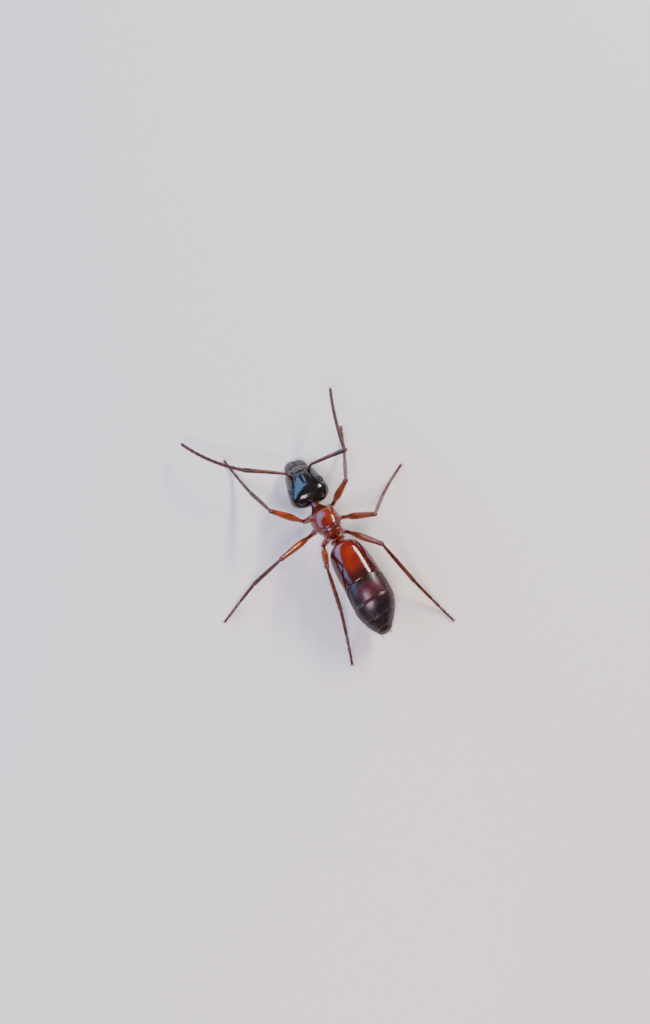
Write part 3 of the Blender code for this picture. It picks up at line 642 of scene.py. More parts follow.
def jawShape(side):
    plan, teeth = jawPlan, jawPlan["teeth"]
    length, sunk, rings, middle = plan["length"], plan["sunk"], plan["rings"], plan["middle"]

    def jawPoint(forward, across):
        return way(forward, side * across, -plan["droop"] * (forward / length) ** 2 + side * plan["cross"])

    ovals = []
    for ring in range(rings + 1):
        forward = -sunk + (length + sunk) * (1 - (1 - ring / rings) ** plan["crowding"])
        bend = math.sqrt(max(0.0, 1 - (max(forward, 0.0) / length) ** 2)) ** plan["roundness"]
        outer = slide((middle, plan["outer"]), bend)
        inner = slide((middle, plan["inner"]), 1 - ease(forward, 0.0, plan["gum"]))
        share = 1.0 if forward > 0 else math.sqrt(max(0.0, 1 - (forward / sunk) ** 2))
        share = 0.0 if ring in (0, rings) else share
        wide = (outer - inner) / 2 * share
        thick = between(plan["thick"], forward)[0] * share
        centre = jawPoint(forward, (outer + inner) / 2)
        ovals.append(Oval(forward, centre, leftWay, upWay, wide, thick, square=plan["square"]))
    shape = loft(ovals, plan["sides"])
    pitch = (length - plan["gum"]) / (teeth["count"] + teeth["spare"])
    aim = way(teeth["aim"][0], -side, teeth["aim"][1]).normalized().to_track_quat("Z", "Y").to_matrix().to_4x4()
    for tooth in range(teeth["count"]):
        size = teeth["size"] - teeth["smaller"] * tooth if tooth else teeth["firstSize"]
        bmesh.ops.create_cone(
            shape, cap_ends=True, segments=teeth["sides"], radius1=teeth["radius"] * size, radius2=teeth["tip"],
            depth=teeth["length"] * size,
            matrix=Matrix.Translation(jawPoint(length - pitch * (tooth + teeth["first"]), middle)) @ aim,
        )
    hinge = Matrix.Translation(way(headPlan["length"] + gap, 0, plan["level"]))
    hinge = hinge @ Matrix.Rotation(math.radians(plan["tilt"]), 4, "X")
    bmesh.ops.transform(shape, matrix=hinge, verts=shape.verts)
    return shape


palpPlan = {
    "start": (2.42, 0.26, -0.36), "jointSteps": 5, "heading": (165.0, 185.0), "rise": (-60.0, 15.0),
    "root": 0.6, "thinner": 0.35, "waist": 0.62, "sides": 10,
    # joints, length, radius and place nearer the middle
    "long": (6, 1.25, 0.042, 0.0), "short": (4, 0.75, 0.036, 0.14),
}


def palpShape(side, joints, length, radius, inward):
    # a chain of short joints that curls back under the head
    plan = palpPlan
    forward, across, up = plan["start"]
    path, radii = [way(forward, side * (across - inward), up)], [radius * plan["root"]]
    count = joints * plan["jointSteps"]
    for step in range(count):
        t = step / count
        onward = headingWay(slide(plan["heading"], t), side, slide(plan["rise"], t))
        path.append(path[-1] + onward * (length / count))
        waist = plan["waist"] if (step + 1) % plan["jointSteps"] == 0 else 1.0
        radii.append(radius * (1 - plan["thinner"] * t) * waist)
    return tube(path, radii, plan["sides"])


lipPlan = {
    "start": 1.7, "end": 2.8, "level": -0.30, "sag": 0.10, "tipLevel": -0.32, "sides": 24,
    # place, half width and half height
    "stations": [
        (1.75, 0.12, 0.10), (1.85, 0.26, 0.16), (2.1, 0.34, 0.19), (2.4, 0.36, 0.18), (2.65, 0.30, 0.13),
        (2.76, 0.14, 0.06),
    ],
}


def lipShape():
    plan = lipPlan
    start, end = plan["start"], plan["end"]
    ovals = []
    for forward, wide, high in [(start, 0.0, 0.0), *plan["stations"], (end, 0.0, 0.0)]:
        level = plan["level"] - plan["sag"] * arc((forward - start) / (end - start))
        ovals.append(Oval(forward, way(forward, 0, level), leftWay, upWay, wide, high))
    ovals[-1].centre = way(end, 0, plan["tipLevel"])
    return loft(ovals, plan["sides"])


for label, side in bothSides.items():
    eye, jaw = eyeShape(side), jawShape(side)
    makePiece("eyeDome_" + label, eye, "eyeLens", "eye", ["eye_" + label], headPlace, eyePlan["crease"])
    nodes = ["mandible_" + label]
    makePiece("jaw_" + label, jaw, "jawShell", "black_shell", nodes, headPlace, jawPlan["crease"])
    palps = joinShapes(palpShape(side, *palpPlan["long"]), palpShape(side, *palpPlan["short"]))
    makePiece("palps_" + label, palps, "brownLeg", "brown_leg", (), headPlace)
makePiece("lowerLip", lipShape(), "jawShell", "black_shell", (), headPlace)
print("head done")


trunkPlan = {
    "domes": (0.03, 0.16), "domeRings": 6, "rings": 124, "sides": 128,
    "stations": [
        # place, level of the middle, half width, height above it and depth below it, squareness
        (1.64, 1.95, 0.18, 0.13, 0.17, 2.0),
        (1.44, 1.98, 0.23, 0.19, 0.20, 2.0),
        (1.24, 2.00, 0.34, 0.29, 0.25, 2.0),
        (1.04, 2.05, 0.52, 0.45, 0.31, 2.0),
        (0.84, 2.12, 0.70, 0.60, 0.37, 2.1),
        (0.58, 2.20, 0.81, 0.70, 0.44, 2.1),
        (0.30, 2.26, 0.85, 0.78, 0.50, 2.1),
        (-0.05, 2.30, 0.82, 0.80, 0.54, 2.1),
        (-0.32, 2.31, 0.69, 0.78, 0.56, 2.2),
        (-0.52, 2.29, 0.61, 0.70, 0.55, 2.3),
        (-0.68, 2.23, 0.57, 0.59, 0.49, 2.4),
        (-0.80, 2.13, 0.52, 0.45, 0.39, 2.3),
        (-0.90, 1.98, 0.42, 0.26, 0.25, 2.2),
    ],
    # point on the back, point on the belly, depth and width of each suture
    "sutures": [
        ((-0.26, 3.0), (0.56, 1.75), 0.046, 0.040),
        ((-0.54, 2.95), (-0.30, 1.72), 0.052, 0.044),
        ((-0.40, 3.0), (-0.06, 1.72), 0.012, 0.032),
    ],
    # place, angle and radius
    "spiracles": [(-0.70, 24.0, 0.055), (-0.46, 44.0, 0.045), (0.52, 8.0, 0.05)],
    "spiracleRim": 0.014, "spiracleSteps": 20,
}


def trunkOval(place):
    level, *sizes = between(trunkPlan["stations"], place)
    return Oval(place, spot(place, 0, level), leftWay, upWay, *sizes)


trunkSkin = Skin(trunkOval, trunkPlan["stations"][-1][0], neckPlace)


def suturePlane(suture):
    (backPlace, backLevel), (bellyPlace, bellyLevel) = suture[:2]
    back, belly = spot(backPlace, 0, backLevel), spot(bellyPlace, 0, bellyLevel)
    return back, (back - belly).cross(leftWay).normalized()


def carveTrunk(oval, angle):
    point = oval.at(angle)
    depth = 0.0
    for suture in trunkPlan["sutures"]:
        back, normal = suturePlane(suture)
        depth += suture[2] * hump((point - back).dot(normal), suture[3])
    return (oval.centre - point).normalized() * depth


def trunkShape():
    plan = trunkPlan
    first, last = plan["stations"][0][0], plan["stations"][-1][0]
    shape = roundedShape(first - last, plan, lambda place: trunkOval(first - place), carveTrunk)
    for place, angle, radius in plan["spiracles"]:
        for side in (1, -1):
            point, outward, _ = trunkSkin.root(place, mirrored(angle, side))
            joinShapes(shape, rimRing(point, outward, radius, plan["spiracleRim"], plan["spiracleSteps"]))
    return shape


planes = [suturePlane(suture) for suture in trunkPlan["sutures"]]
finishes["orangeShell"] = shellFinish(
    "orangeShell", *looks["orangeShell"], **extras["orangeShell"], seamPlanes=planes,
)
makePiece("trunkSkin", trunkShape(), "orangeShell", "orange_shell", ["pronotum", "mesonotum", "propodeum"])
print("trunk done")


petiolePlan = {
    # level, place, half width and half thickness
    "scale": [
        (1.42, -1.14, 0.26, 0.11),
        (1.62, -1.14, 0.34, 0.11),
        (1.86, -1.12, 0.42, 0.10),
        (2.12, -1.07, 0.47, 0.09),
        (2.34, -1.02, 0.42, 0.08),
        (2.48, -0.97, 0.32, 0.07),
    ],
    "domes": (0.12, 0.12), "domeRings": 7, "rings": 26, "sides": 48,
    # place, level and radius
    "stalk": [
        (-0.62, 1.80, 0.22), (-0.82, 1.74, 0.21), (-1.02, 1.72, 0.19), (-1.26, 1.73, 0.19), (-1.45, 1.80, 0.21),
        (-1.65, 1.88, 0.25),
    ],
    "stalkSides": 32,
}


def petioleOval(level):
    forward, wide, thick = between(petiolePlan["scale"], level)
    return Oval(level, spot(forward, 0, level), leftWay, way(-1, 0, 0), wide, thick)


petioleSkin = Skin(petioleOval, petiolePlan["scale"][0][0], petiolePlan["scale"][-1][0])


def petioleShape():
    plan = petiolePlan
    bottom, top = petioleSkin.first, petioleSkin.last
    scale = roundedShape(top - bottom, plan, lambda place: petioleOval(top - place))
    path = [spot(forward, 0, level) for forward, level, _ in plan["stalk"]]
    return joinShapes(scale, tube(path, [radius for _, _, radius in plan["stalk"]], plan["stalkSides"]))


makePiece("petioleSkin", petioleShape(), "orangeShell", "orange_shell", ["petiole"])


gasterPlan = {
    "lean": 42.0, "leanLength": 2.2,
    "stations": [
        # place, place to the left, level, half width, height above and depth below the middle
        (-1.36, 0.00, 1.96, 0.62, 0.52, 0.44),
        (-1.62, 0.00, 2.01, 0.87, 0.74, 0.66),
        (-2.20, 0.00, 2.06, 1.07, 0.90, 0.86),
        (-3.10, 0.01, 2.07, 1.18, 0.96, 0.96),
        (-4.00, 0.03, 2.02, 1.21, 0.98, 0.99),
        (-4.65, 0.07, 1.95, 1.26, 1.00, 1.00),
        (-5.30, 0.13, 1.85, 1.24, 0.95, 0.95),
        (-5.90, 0.21, 1.72, 1.06, 0.80, 0.82),
        (-6.45, 0.31, 1.55, 0.74, 0.56, 0.58),
        (-7.02, 0.42, 1.38, 0.30, 0.22, 0.24),
    ],
    "seams": [-1.36, -3.75, -4.95, -5.95, -6.60, -7.02],
    "rings": 30, "sides": 96, "domes": {"front": 0.46, "tip": 0.2, "tucked": 0.04, "lip": 0.03},
    "endDomeRings": 10, "domeRings": 4,
    "tuck": 0.22, "step": 0.045, "stepAlong": (0.02, -0.22), "lip": 0.03, "swell": 0.012, "swellAhead": 1.2,
    "belly": {"angle": 28.0, "blend": 3.0, "inset": 0.03},
}


def gasterOval(place, swell=0.0):
    bend, level, *sizes = between(gasterPlan["stations"], place)
    behind = gasterPlan["stations"][0][0] - place
    fade = max(0.0, 1 - behind / gasterPlan["leanLength"])
    lean = math.radians(gasterPlan["lean"]) * fade * fade
    rise = way(math.sin(lean), 0, math.cos(lean))
    return Oval(place, spot(place, bend, level), leftWay, rise, *(size * (1 + swell) for size in sizes))


gasterSkin = Skin(gasterOval, gasterPlan["seams"][-1], gasterPlan["seams"][0])


def carveBelly(oval, angle):
    # the plates of the belly lie a little under the edges of those of the back
    belly = gasterPlan["belly"]
    below = -math.degrees(math.asin(math.sin(angle)))
    depth = belly["inset"] * ease(below, belly["angle"], belly["angle"] + belly["blend"])
    return (oval.centre - oval.at(angle)).normalized() * depth


def plateShape(index):
    plan, seams, domes = gasterPlan, gasterPlan["seams"], gasterPlan["domes"]
    first, last = index == 0, index == len(seams) - 2
    front = seams[index] + (0.0 if first else plan["tuck"])
    length = front - seams[index + 1] + (0.0 if last else plan["lip"])
    stepStart, stepEnd = (seams[index] + along for along in plan["stepAlong"])

    def plateOval(place):
        here = front - place
        under = 0.0 if first else plan["step"] * (1 - ease(here, stepStart, stepEnd))
        swell = plan["swell"] * arc(min(1.0, place / length * plan["swellAhead"]))
        return gasterOval(here, swell - under / gasterOval(here).wide)

    ends = {
        "domes": (domes["front" if first else "tucked"], domes["tip" if last else "lip"]),
        "domeRings": plan["endDomeRings"] if first or last else plan["domeRings"],
    }
    return roundedShape(length, {**plan, **ends}, plateOval, carveBelly)


for index in range(len(gasterPlan["seams"]) - 1):
    finish, slot = ("purpleShell", "purple_shell") if index else ("redShell", "red_shell")
    number = str(index + 1)
    makePiece("gasterPlate_" + number, plateShape(index), finish, slot, ["gaster_tergite_" + number])
print("gaster done")


legPlan = {
    # place and angle of the root, coxa's length and radii, lengths of femur, tibia and tarsus; then for
    # each side heading and droop of the coxa, heading and end level of femur and tibia, headings of the tarsus
    "front": {
        "root": (0.82, -46.0), "coxa": (0.82, 0.28, 0.145), "lengths": (2.4, 2.35, 3.1),
        "left": {"coxa": (58.0, 42.0), "femur": (48.0, 2.62), "tibia": (9.0, 1.15), "tarsus": (6.0, 4.0)},
        "right": {"coxa": (60.0, 42.0), "femur": (69.0, 3.28), "tibia": (31.0, 1.45), "tarsus": (31.0, 24.0)},
    },
    "middle": {
        "root": (0.12, -48.0), "coxa": (0.70, 0.26, 0.145), "lengths": (2.75, 2.55, 3.0),
        "left": {"coxa": (84.0, 44.0), "femur": (102.0, 2.68), "tibia": (94.0, 1.05), "tarsus": (104.0, 112.0)},
        "right": {"coxa": (92.0, 44.0), "femur": (129.0, 3.36), "tibia": (50.0, 1.3), "tarsus": (54.0, 66.0)},
    },
    "hind": {
        "root": (-0.58, -54.0), "coxa": (0.74, 0.27, 0.145), "lengths": (2.85, 3.2, 3.5),
        "left": {"coxa": (122.0, 46.0), "femur": (155.0, 3.55), "tibia": (169.0, 1.25), "tarsus": (163.0, 158.0)},
        "right": {"coxa": (118.0, 46.0), "femur": (150.0, 2.95), "tibia": (166.0, 1.15), "tarsus": (163.0, 166.0)},
    },
}
coxaPlan = {
    "lean": 0.7, "sunk": 0.30, "steps": 22, "turn": 2, "taper": 0.8, "swell": 0.10, "flat": 0.94,
    "tipRings": 5, "tipLength": 0.9, "sides": 32,
}
femurPlan = {
    "radii": [
        (0.0, 0.09), (0.04, 0.120), (0.085, 0.138), (0.12, 0.110), (0.17, 0.150), (0.35, 0.220), (0.6, 0.205),
        (0.85, 0.160), (0.95, 0.158), (1.0, 0.125),
    ],
    "ends": (0.04, 0.15), "domes": (0.06, 0.13), "domeRings": 4, "rings": 44, "sides": 28, "bow": 0.03,
    "flat": 0.94,
}
tibiaPlan = {
    "radii": [
        (0.0, 0.075), (0.04, 0.098), (0.08, 0.085), (0.16, 0.105), (0.4, 0.128), (0.75, 0.136), (0.95, 0.142),
        (1.0, 0.125),
    ],
    "ends": (-0.03, 0.10), "domes": (0.05, 0.06), "domeRings": 4, "rings": 40, "sides": 24, "bow": 0.02,
    "flat": 0.95,
}
spurPlan = {
    # length, and shares of the shin's own way, of the way below it and of the way across it
    "aims": [(0.30, 0.9, 0.45, 0.12), (0.21, 0.9, 0.35, -0.35)],
    "below": 0.10, "radius": 0.028, "taper": 0.88, "lift": 0.03, "steps": 8, "sides": 8,
}
tarsusPlan = {
    "shares": [0.46, 0.18, 0.13, 0.09, 0.14], "radius": (0.108, 0.078), "sole": 0.085, "beads": 80,
    "landing": 0.80, "fall": 1.35, "waist": 0.74, "swollen": 0.7, "firstSwollen": 0.12, "narrowing": 0.22,
    "narrowFrom": 0.95,
    "clawBeads": 3, "sides": 16, "hairSkins": 6, "hairBeads": 12, "hairRadius": 0.09,
}
clawPlan = {
    "length": 0.17, "root": 0.03, "curve": 1.75, "spread": (0.03, 0.085), "splay": 1.9,
    "arch": 0.035, "archTurn": 3.0, "drop": 0.055, "radius": 0.027, "taper": 0.85, "steps": 10, "sides": 10,
    "pad": {"radius": 0.042, "flat": 0.6, "forward": 0.06, "down": 0.03},
}
limbSkins = []  # every straight limb, kept for its bristles


def levelLimb(start, side, length, heading, height):
    rise = height - start.z
    return start + headingWay(heading, side) * math.sqrt(length * length - rise * rise) + Vector((0, 0, rise))


def tarsusPath(ankle, side, length, headings):
    # down from the ankle to the floor and then along it
    plan = tarsusPlan
    step = length / plan["beads"]
    fall = ankle.z - plan["sole"]
    path = [ankle]
    for i in range(plan["beads"]):
        share = (i + 1) / plan["beads"]
        height = plan["sole"] + fall * max(0.0, 1 - share / plan["landing"]) ** plan["fall"]
        drop = path[-1].z - height
        run = math.sqrt(max(step * step - drop * drop, 1e-6))
        path.append(path[-1] + headingWay(slide(headings, share), side) * run - Vector((0, 0, drop)))
    return path


def coxaShape(root, outward, hip, direction, radii):
    plan = coxaPlan
    start = root - outward * plan["sunk"]
    ovals = []
    for t in shares(plan["steps"]):
        side, rise = squareTo(outward.lerp(direction, min(1.0, t * plan["turn"])).normalized())
        radius = slide(radii, t ** plan["taper"]) * (1 + plan["swell"] * arc(t))
        ovals.append(Oval(t, start.lerp(hip, t), side, rise, radius, radius * plan["flat"]))
    side, rise = squareTo(direction)
    for share in shares(plan["tipRings"])[1:]:
        angle = math.pi / 2 * share
        centre = hip + direction * radii[1] * plan["tipLength"] * math.sin(angle)
        ovals.append(Oval(1.0, centre, side, rise, radii[1] * math.cos(angle)))
    ovals[0].wide = ovals[0].high = ovals[0].deep = 0.0
    return loft(ovals, plan["sides"])


def spurShape(start, direction, length):
    plan = spurPlan
    path = [start + direction * (length * t) + upWay * (plan["lift"] * t**2) for t in shares(plan["steps"])]
    return tube(path, [plan["radius"] * (1 - plan["taper"] * t) for t in shares(plan["steps"])], plan["sides"])


def tarsusShape(path):
    # five joints, each narrow at its base and wide at its end
    plan = tarsusPlan
    count = len(path) - 1
    ends, total = [], 0.0
    for share in plan["shares"]:
        total += share
        ends.append(round(total * count))
    ends[-1] -= plan["clawBeads"]
    parts = []
    start = 0
    for joint, stop in enumerate(ends):
        picks = sorted({start, start + 1, *range(start + 2, stop, 2), stop - 1, stop})
        radii = []
        for pick in picks:
            t = (pick - start) / (stop - start)
            swell = slide((plan["waist"], 1.0), ease(t, 0.0, plan["swollen" if joint else "firstSwollen"]))
            swell -= plan["narrowing"] * ease(t, plan["narrowFrom"], 1.0)
            radii.append(slide(plan["radius"], pick / count) * swell)
        parts.append(tube([path[pick] for pick in picks], radii, plan["sides"]))
        start = stop
    return joinShapes(*parts)


def clawShape(path):
    # two hooks and the pad between them
    plan, pad = clawPlan, clawPlan["pad"]
    end = len(path) - 1 - tarsusPlan["clawBeads"]
    tip, direction = path[end], (path[-1] - path[end - 1]).normalized()
    across = direction.cross(upWay).normalized()
    parts = []
    for side in (1, -1):
        points, radii = [], []
        for t in shares(plan["steps"]):
            spread = plan["spread"][0] + plan["spread"][1] * math.sin(t * plan["splay"])
            reach = plan["length"] * math.sin(t * plan["curve"]) / math.sin(plan["curve"]) - plan["root"]
            rise = plan["arch"] * math.sin(t * plan["archTurn"]) - plan["drop"] * t * t
            points.append(tip + direction * reach + across * (side * spread) + upWay * rise)
            radii.append(plan["radius"] * (1 - plan["taper"] * t))
        parts.append(tube(points, radii, plan["sides"]))
    ball = bmesh.new()
    bmesh.ops.create_uvsphere(ball, u_segments=16, v_segments=10, radius=pad["radius"])
    bmesh.ops.scale(ball, vec=(1.0, 1.0, pad["flat"]), verts=ball.verts)
    bmesh.ops.translate(ball, vec=tip + direction * pad["forward"] - upWay * pad["down"], verts=ball.verts)
    return joinShapes(*parts, ball)


def addLimb(name, start, finish, plan, look, spurs=()):
    # a straight limb that reaches a little beyond its two joints
    direction = (finish - start).normalized()
    start, finish = start + direction * plan["ends"][0], finish + direction * plan["ends"][1]
    shape = joinShapes(limbShape(start, finish, plan), *spurs)
    kind, suffix = name.split("_", 1)
    makePiece(kind + "Skin_" + suffix, shape, *look, [name])
    limbSkins.append((start, finish, plan["radii"], kind))


def buildLeg(pair, label, side):
    plan, pose, suffix = legPlan[pair], legPlan[pair][label], "_" + pair + "_" + label
    femurLength, tibiaLength, tarsusLength = plan["lengths"]
    root, outward, _ = trunkSkin.root(plan["root"][0], mirrored(plan["root"][1], side))
    coxaLength, *coxaRadii = plan["coxa"]
    heading, droop = pose["coxa"]
    direction = (headingWay(heading, side, -droop) + outward * coxaPlan["lean"]).normalized()
    hip = root + direction * coxaLength
    coxa = coxaShape(root, outward, hip, direction, coxaRadii)
    makePiece("coxaSkin" + suffix, coxa, "coxaShell", "orange_leg", ["coxa" + suffix])

    knee = levelLimb(hip, side, femurLength, *pose["femur"])
    addLimb("femur" + suffix, hip, knee, femurPlan, ("orangeLeg", "orange_leg"))

    ankle = levelLimb(knee, side, tibiaLength, *pose["tibia"])
    shin = (ankle - knee).normalized()
    across = shin.cross(upWay).normalized()
    below = across.cross(shin).normalized()
    below = below if below.z < 0 else -below
    spurs = []
    for size, alongShare, belowShare, acrossShare in spurPlan["aims"][:1 if pair == "front" else 2]:
        aim = (shin * alongShare + below * belowShare + across * acrossShare).normalized()
        spurs.append(spurShape(ankle + below * spurPlan["below"], aim, size))
    addLimb("tibia" + suffix, knee, ankle, tibiaPlan, ("brownLeg", "brown_leg"), spurs)

    path = tarsusPath(ankle, side, tarsusLength, pose["tarsus"])
    makePiece("tarsusSkin" + suffix, tarsusShape(path), "brownLeg", "brown_leg", ["tarsus" + suffix])
    makePiece("claws" + suffix, clawShape(path), "clawShell", "brown_leg")
    beads, radius = tarsusPlan["hairBeads"], tarsusPlan["hairRadius"]
    for first in range(0, tarsusPlan["hairSkins"] * beads, beads):
        limbSkins.append((path[first], path[first + beads - 1], [(0.0, radius), (1.0, radius)], "tarsus"))


for pair in legPlan:
    for label, side in bothSides.items():
        buildLeg(pair, label, side)
print("legs done")


scapePlan = {
    "length": 2.6, "base": 0.18, "tip": 0.235, "spare": 0.08, "sunk": 0.02, "bend": 0.22,
    "bendShare": 0.1, "bow": 0.05,
    "radii": [
        (0.0, 0.07), (0.03, 0.105), (0.06, 0.075), (0.10, 0.085), (0.3, 0.105), (0.7, 0.13), (0.94, 0.145),
        (1.0, 0.11),
    ],
    "end": 0.7, "steps": 40, "sides": 24, "hairStart": 6, "hairRadii": [(0.0, 0.09), (0.5, 0.12), (1.0, 0.13)],
}
funiculusPlan = {
    "joints": 11, "beads": 10, "length": 4.2, "start": 0.06, "radius": (0.112, 0.100), "waist": 0.82,
    "swollen": 0.35, "narrowing": 0.10, "narrowAlong": (0.88, 1.0), "lastSwollen": 0.25, "lastNarrowing": 0.85,
    "lastAlong": (0.45, 1.05), "sides": 18, "hairRadii": [(0.0, 0.08), (1.0, 0.105)],
}
# heading and rise of the scape, first and last heading and rise of the funiculus
feelerPoses = {
    "left": {"scape": (56.0, 12.0), "headings": (44.0, 18.0), "rises": (-12.0, -20.0)},
    "right": {"scape": (107.0, 33.0), "headings": (15.0, 27.0), "rises": (-16.0, -22.0)},
}


def buildFeeler(label, side):
    plan, pose, socket = scapePlan, feelerPoses[label], headPlan["socket"]
    point, outward, _ = headSkin.root(socket["station"], mirrored(socket["angle"], side))
    base = headPlace @ (point + outward * (gap + plan["base"]))
    seat = headPlace @ (point + outward * plan["sunk"])
    heading, rising = pose["scape"]
    direction = headingWay(heading, side, rising)
    elbow = base + direction * plan["length"]
    length = (elbow + direction * (plan["tip"] - plan["spare"]) - base).length
    rise = squareTo(direction)[1]
    bend, bendShare = plan["bend"], plan["bendShare"]
    path, radii = [], []
    for t in shares(plan["steps"]):
        # the root bends out of its socket before the shaft runs straight
        if t < bendShare:
            point = seat.lerp(base + direction * bend, ease(t, 0.0, bendShare))
        else:
            point = base + direction * (bend + (length - bend) * (t - bendShare) / (1 - bendShare))
        path.append(point + rise * (plan["bow"] * arc(t)))
        radii.append(between(plan["radii"], t)[0])
    radii[-1] *= plan["end"]
    scape = tube(path, radii, plan["sides"])
    makePiece("scapeSkin_" + label, scape, "brownLeg", "brown_leg", ["scape_" + label])
    limbSkins.append((path[plan["hairStart"]], path[-1], plan["hairRadii"], "scape"))

    plan = funiculusPlan
    joints, beads = plan["joints"], plan["beads"]
    count = joints * beads
    reach = plan["length"] + scapePlan["tip"] + gap - plan["start"]
    track = [elbow + headingWay(pose["headings"][0], side, pose["rises"][0]) * plan["start"]]
    for i in range(count):
        t = (i + 0.5) / count
        onward = headingWay(slide(pose["headings"], t), side, slide(pose["rises"], t))
        track.append(track[-1] + onward * (reach / count))
    parts = []
    for joint in range(joints):
        first, last = joint * beads, (joint + 1) * beads
        swollen, narrowing, along = plan["swollen"], plan["narrowing"], plan["narrowAlong"]
        if joint == joints - 1:
            swollen, narrowing, along = plan["lastSwollen"], plan["lastNarrowing"], plan["lastAlong"]
        radii = []
        for t in shares(beads):
            swell = slide((plan["waist"], 1.0), ease(t, 0.0, swollen)) - narrowing * ease(t, *along)
            radii.append(slide(plan["radius"], joint / (joints - 1)) * swell)
        parts.append(tube(track[first:last + 1], radii, plan["sides"]))
        limbSkins.append((track[first], track[last], plan["hairRadii"], "funiculus"))
    makePiece("funiculusSkin_" + label, joinShapes(*parts), "feelerShell", "brown_leg", ["funiculus_" + label])


for label, side in bothSides.items():
    buildFeeler(label, side)
print("feelers done")


bristlePlan = {
    "sides": 3, "tip": 0.15, "cuts": (0.35, 0.7), "batch": 150, "sunk": 0.01, "curl": 0.25,
    "thickness": (0.8, 1.15), "lowest": 0.012,  # no bristle reaches below this height
    # each skin has a tile of the coat's map, and each bristle a small patch in its tile
    "patch": 0.003, "columns": 8, "rows": 16, "margin": 0.05, "filled": 0.85,
}


def bristleMesh():
    # one spike of unit length, with the patch it fills on its coat's map
    plan = bristlePlan
    shape = bmesh.new()
    bmesh.ops.create_cone(shape, cap_ends=True, segments=plan["sides"], radius1=1, radius2=plan["tip"], depth=1)
    bmesh.ops.translate(shape, vec=(0, 0, 0.5), verts=shape.verts)
    for height in plan["cuts"]:
        bmesh.ops.bisect_plane(
            shape, geom=shape.verts[:] + shape.edges[:] + shape.faces[:], dist=1e-6,
            plane_co=(0, 0, height), plane_no=(0, 0, 1),
        )
    layer = shape.loops.layers.uv.new("OFBake")
    for face in shape.faces:
        for loop in face.loops:
            turn = math.atan2(loop.vert.co.y, loop.vert.co.x) / math.tau + 0.5
            loop[layer].uv = (plan["patch"] * turn, plan["patch"] * loop.vert.co.z)
    return toMesh("bristle", shape)


oneBristle = bristleMesh()


class Coat:
    # bristles gathered in small batches that are joined at the end
    def __init__(self):
        self.batches = []
        self.held = bristlePlan["batch"]

    def add(self, root, aim, sag, length, thick, patch):
        if self.held == bristlePlan["batch"]:
            self.batches.append(bmesh.new())
            self.held = 0
        batch = self.batches[-1]
        oldVerts, oldFaces = len(batch.verts), len(batch.faces)
        batch.from_mesh(oneBristle)
        batch.verts.ensure_lookup_table()
        batch.faces.ensure_lookup_table()
        side, rise = squareTo(aim)
        for vert in batch.verts[oldVerts:]:
            x, y, z = vert.co
            vert.co = root + aim * (z * length) + side * (x * thick) + rise * (y * thick) + sag * (z * z * length)
        layer = batch.loops.layers.uv["OFBake"]
        for face in batch.faces[oldFaces:]:
            for loop in face.loops:
                loop[layer].uv = loop[layer].uv + patch
        self.held += 1

    def finish(self, name):
        makePiece(name, joinShapes(*self.batches), "bristle", "brown_leg")


def dress(coat, skin, kinds, tile, back=1, place=None):
    # back is 1 where the skin's places run towards the tail or the foot
    plan = bristlePlan
    column, row = tile % plan["columns"], tile // plan["columns"]
    for count, places, angles, lengths, thick, stand, stray in kinds:
        for _ in range(count):
            here = random.uniform(*places)
            angle = math.radians(random.uniform(*angles))
            root, outward, along = skin.root(here, angle)
            wander = Vector([random.uniform(-1, 1) for _ in range(3)]) * stray
            aim = (outward * stand + along * (back * (1 - stand)) + wander).normalized()
            sag = along * (back * plan["curl"])
            length = random.uniform(*lengths)
            root = root - outward * plan["sunk"]
            if place is not None:
                root, turn = place @ root, place.to_3x3()
                aim, sag = turn @ aim, turn @ sag
            if (root + (aim + sag) * length).z < plan["lowest"]:
                continue
            share, around = (here - skin.first) / (skin.last - skin.first), (angle / math.tau) % 1.0
            patch = Vector((
                (column + plan["margin"] + plan["filled"] * share) / plan["columns"],
                (row + plan["margin"] + plan["filled"] * around) / plan["rows"],
            ))
            coat.add(root, aim, sag, length, thick * random.uniform(*plan["thickness"]), patch)


# each kind of hair: count, places, angles round the skin, lengths, thickness, how far it stands up and strays
headHairs = [
    (60, (1.0, 2.6), (35, 145), (0.14, 0.26), 0.0054, 0.85, 0.18),
    (26, (0.10, 0.30), (35, 145), (0.18, 0.30), 0.0058, 0.6, 0.18),
    (20, (0.35, 0.65), (55, 125), (0.12, 0.22), 0.0054, 0.8, 0.18),
    (30, (0.3, 2.2), (210, 330), (0.12, 0.22), 0.005, 0.8, 0.18),
    (520, (0.3, 2.7), (-30, 210), (0.05, 0.09), 0.0023, 0.14, 0.1),
]
headCoat = Coat()
dress(headCoat, headSkin, headHairs, 0, 1, headPlace)
headCoat.finish("headBristles")

trunkHairs = [
    (60, (0.05, 1.15), (25, 155), (0.18, 0.32), 0.0061, 0.85, 0.18),
    (34, (-0.8, -0.1), (30, 150), (0.18, 0.34), 0.0061, 0.85, 0.18),
    (700, (-0.86, 1.3), (-45, 225), (0.05, 0.10), 0.0025, 0.15, 0.1),
]
petioleHairs = [(26, (2.25, 2.46), (0, 360), (0.12, 0.24), 0.0054, 0.45, 0.18)]
trunkCoat = Coat()
dress(trunkCoat, trunkSkin, trunkHairs, 0, -1)
dress(trunkCoat, petioleSkin, petioleHairs, 1, 1)
trunkCoat.finish("trunkBristles")

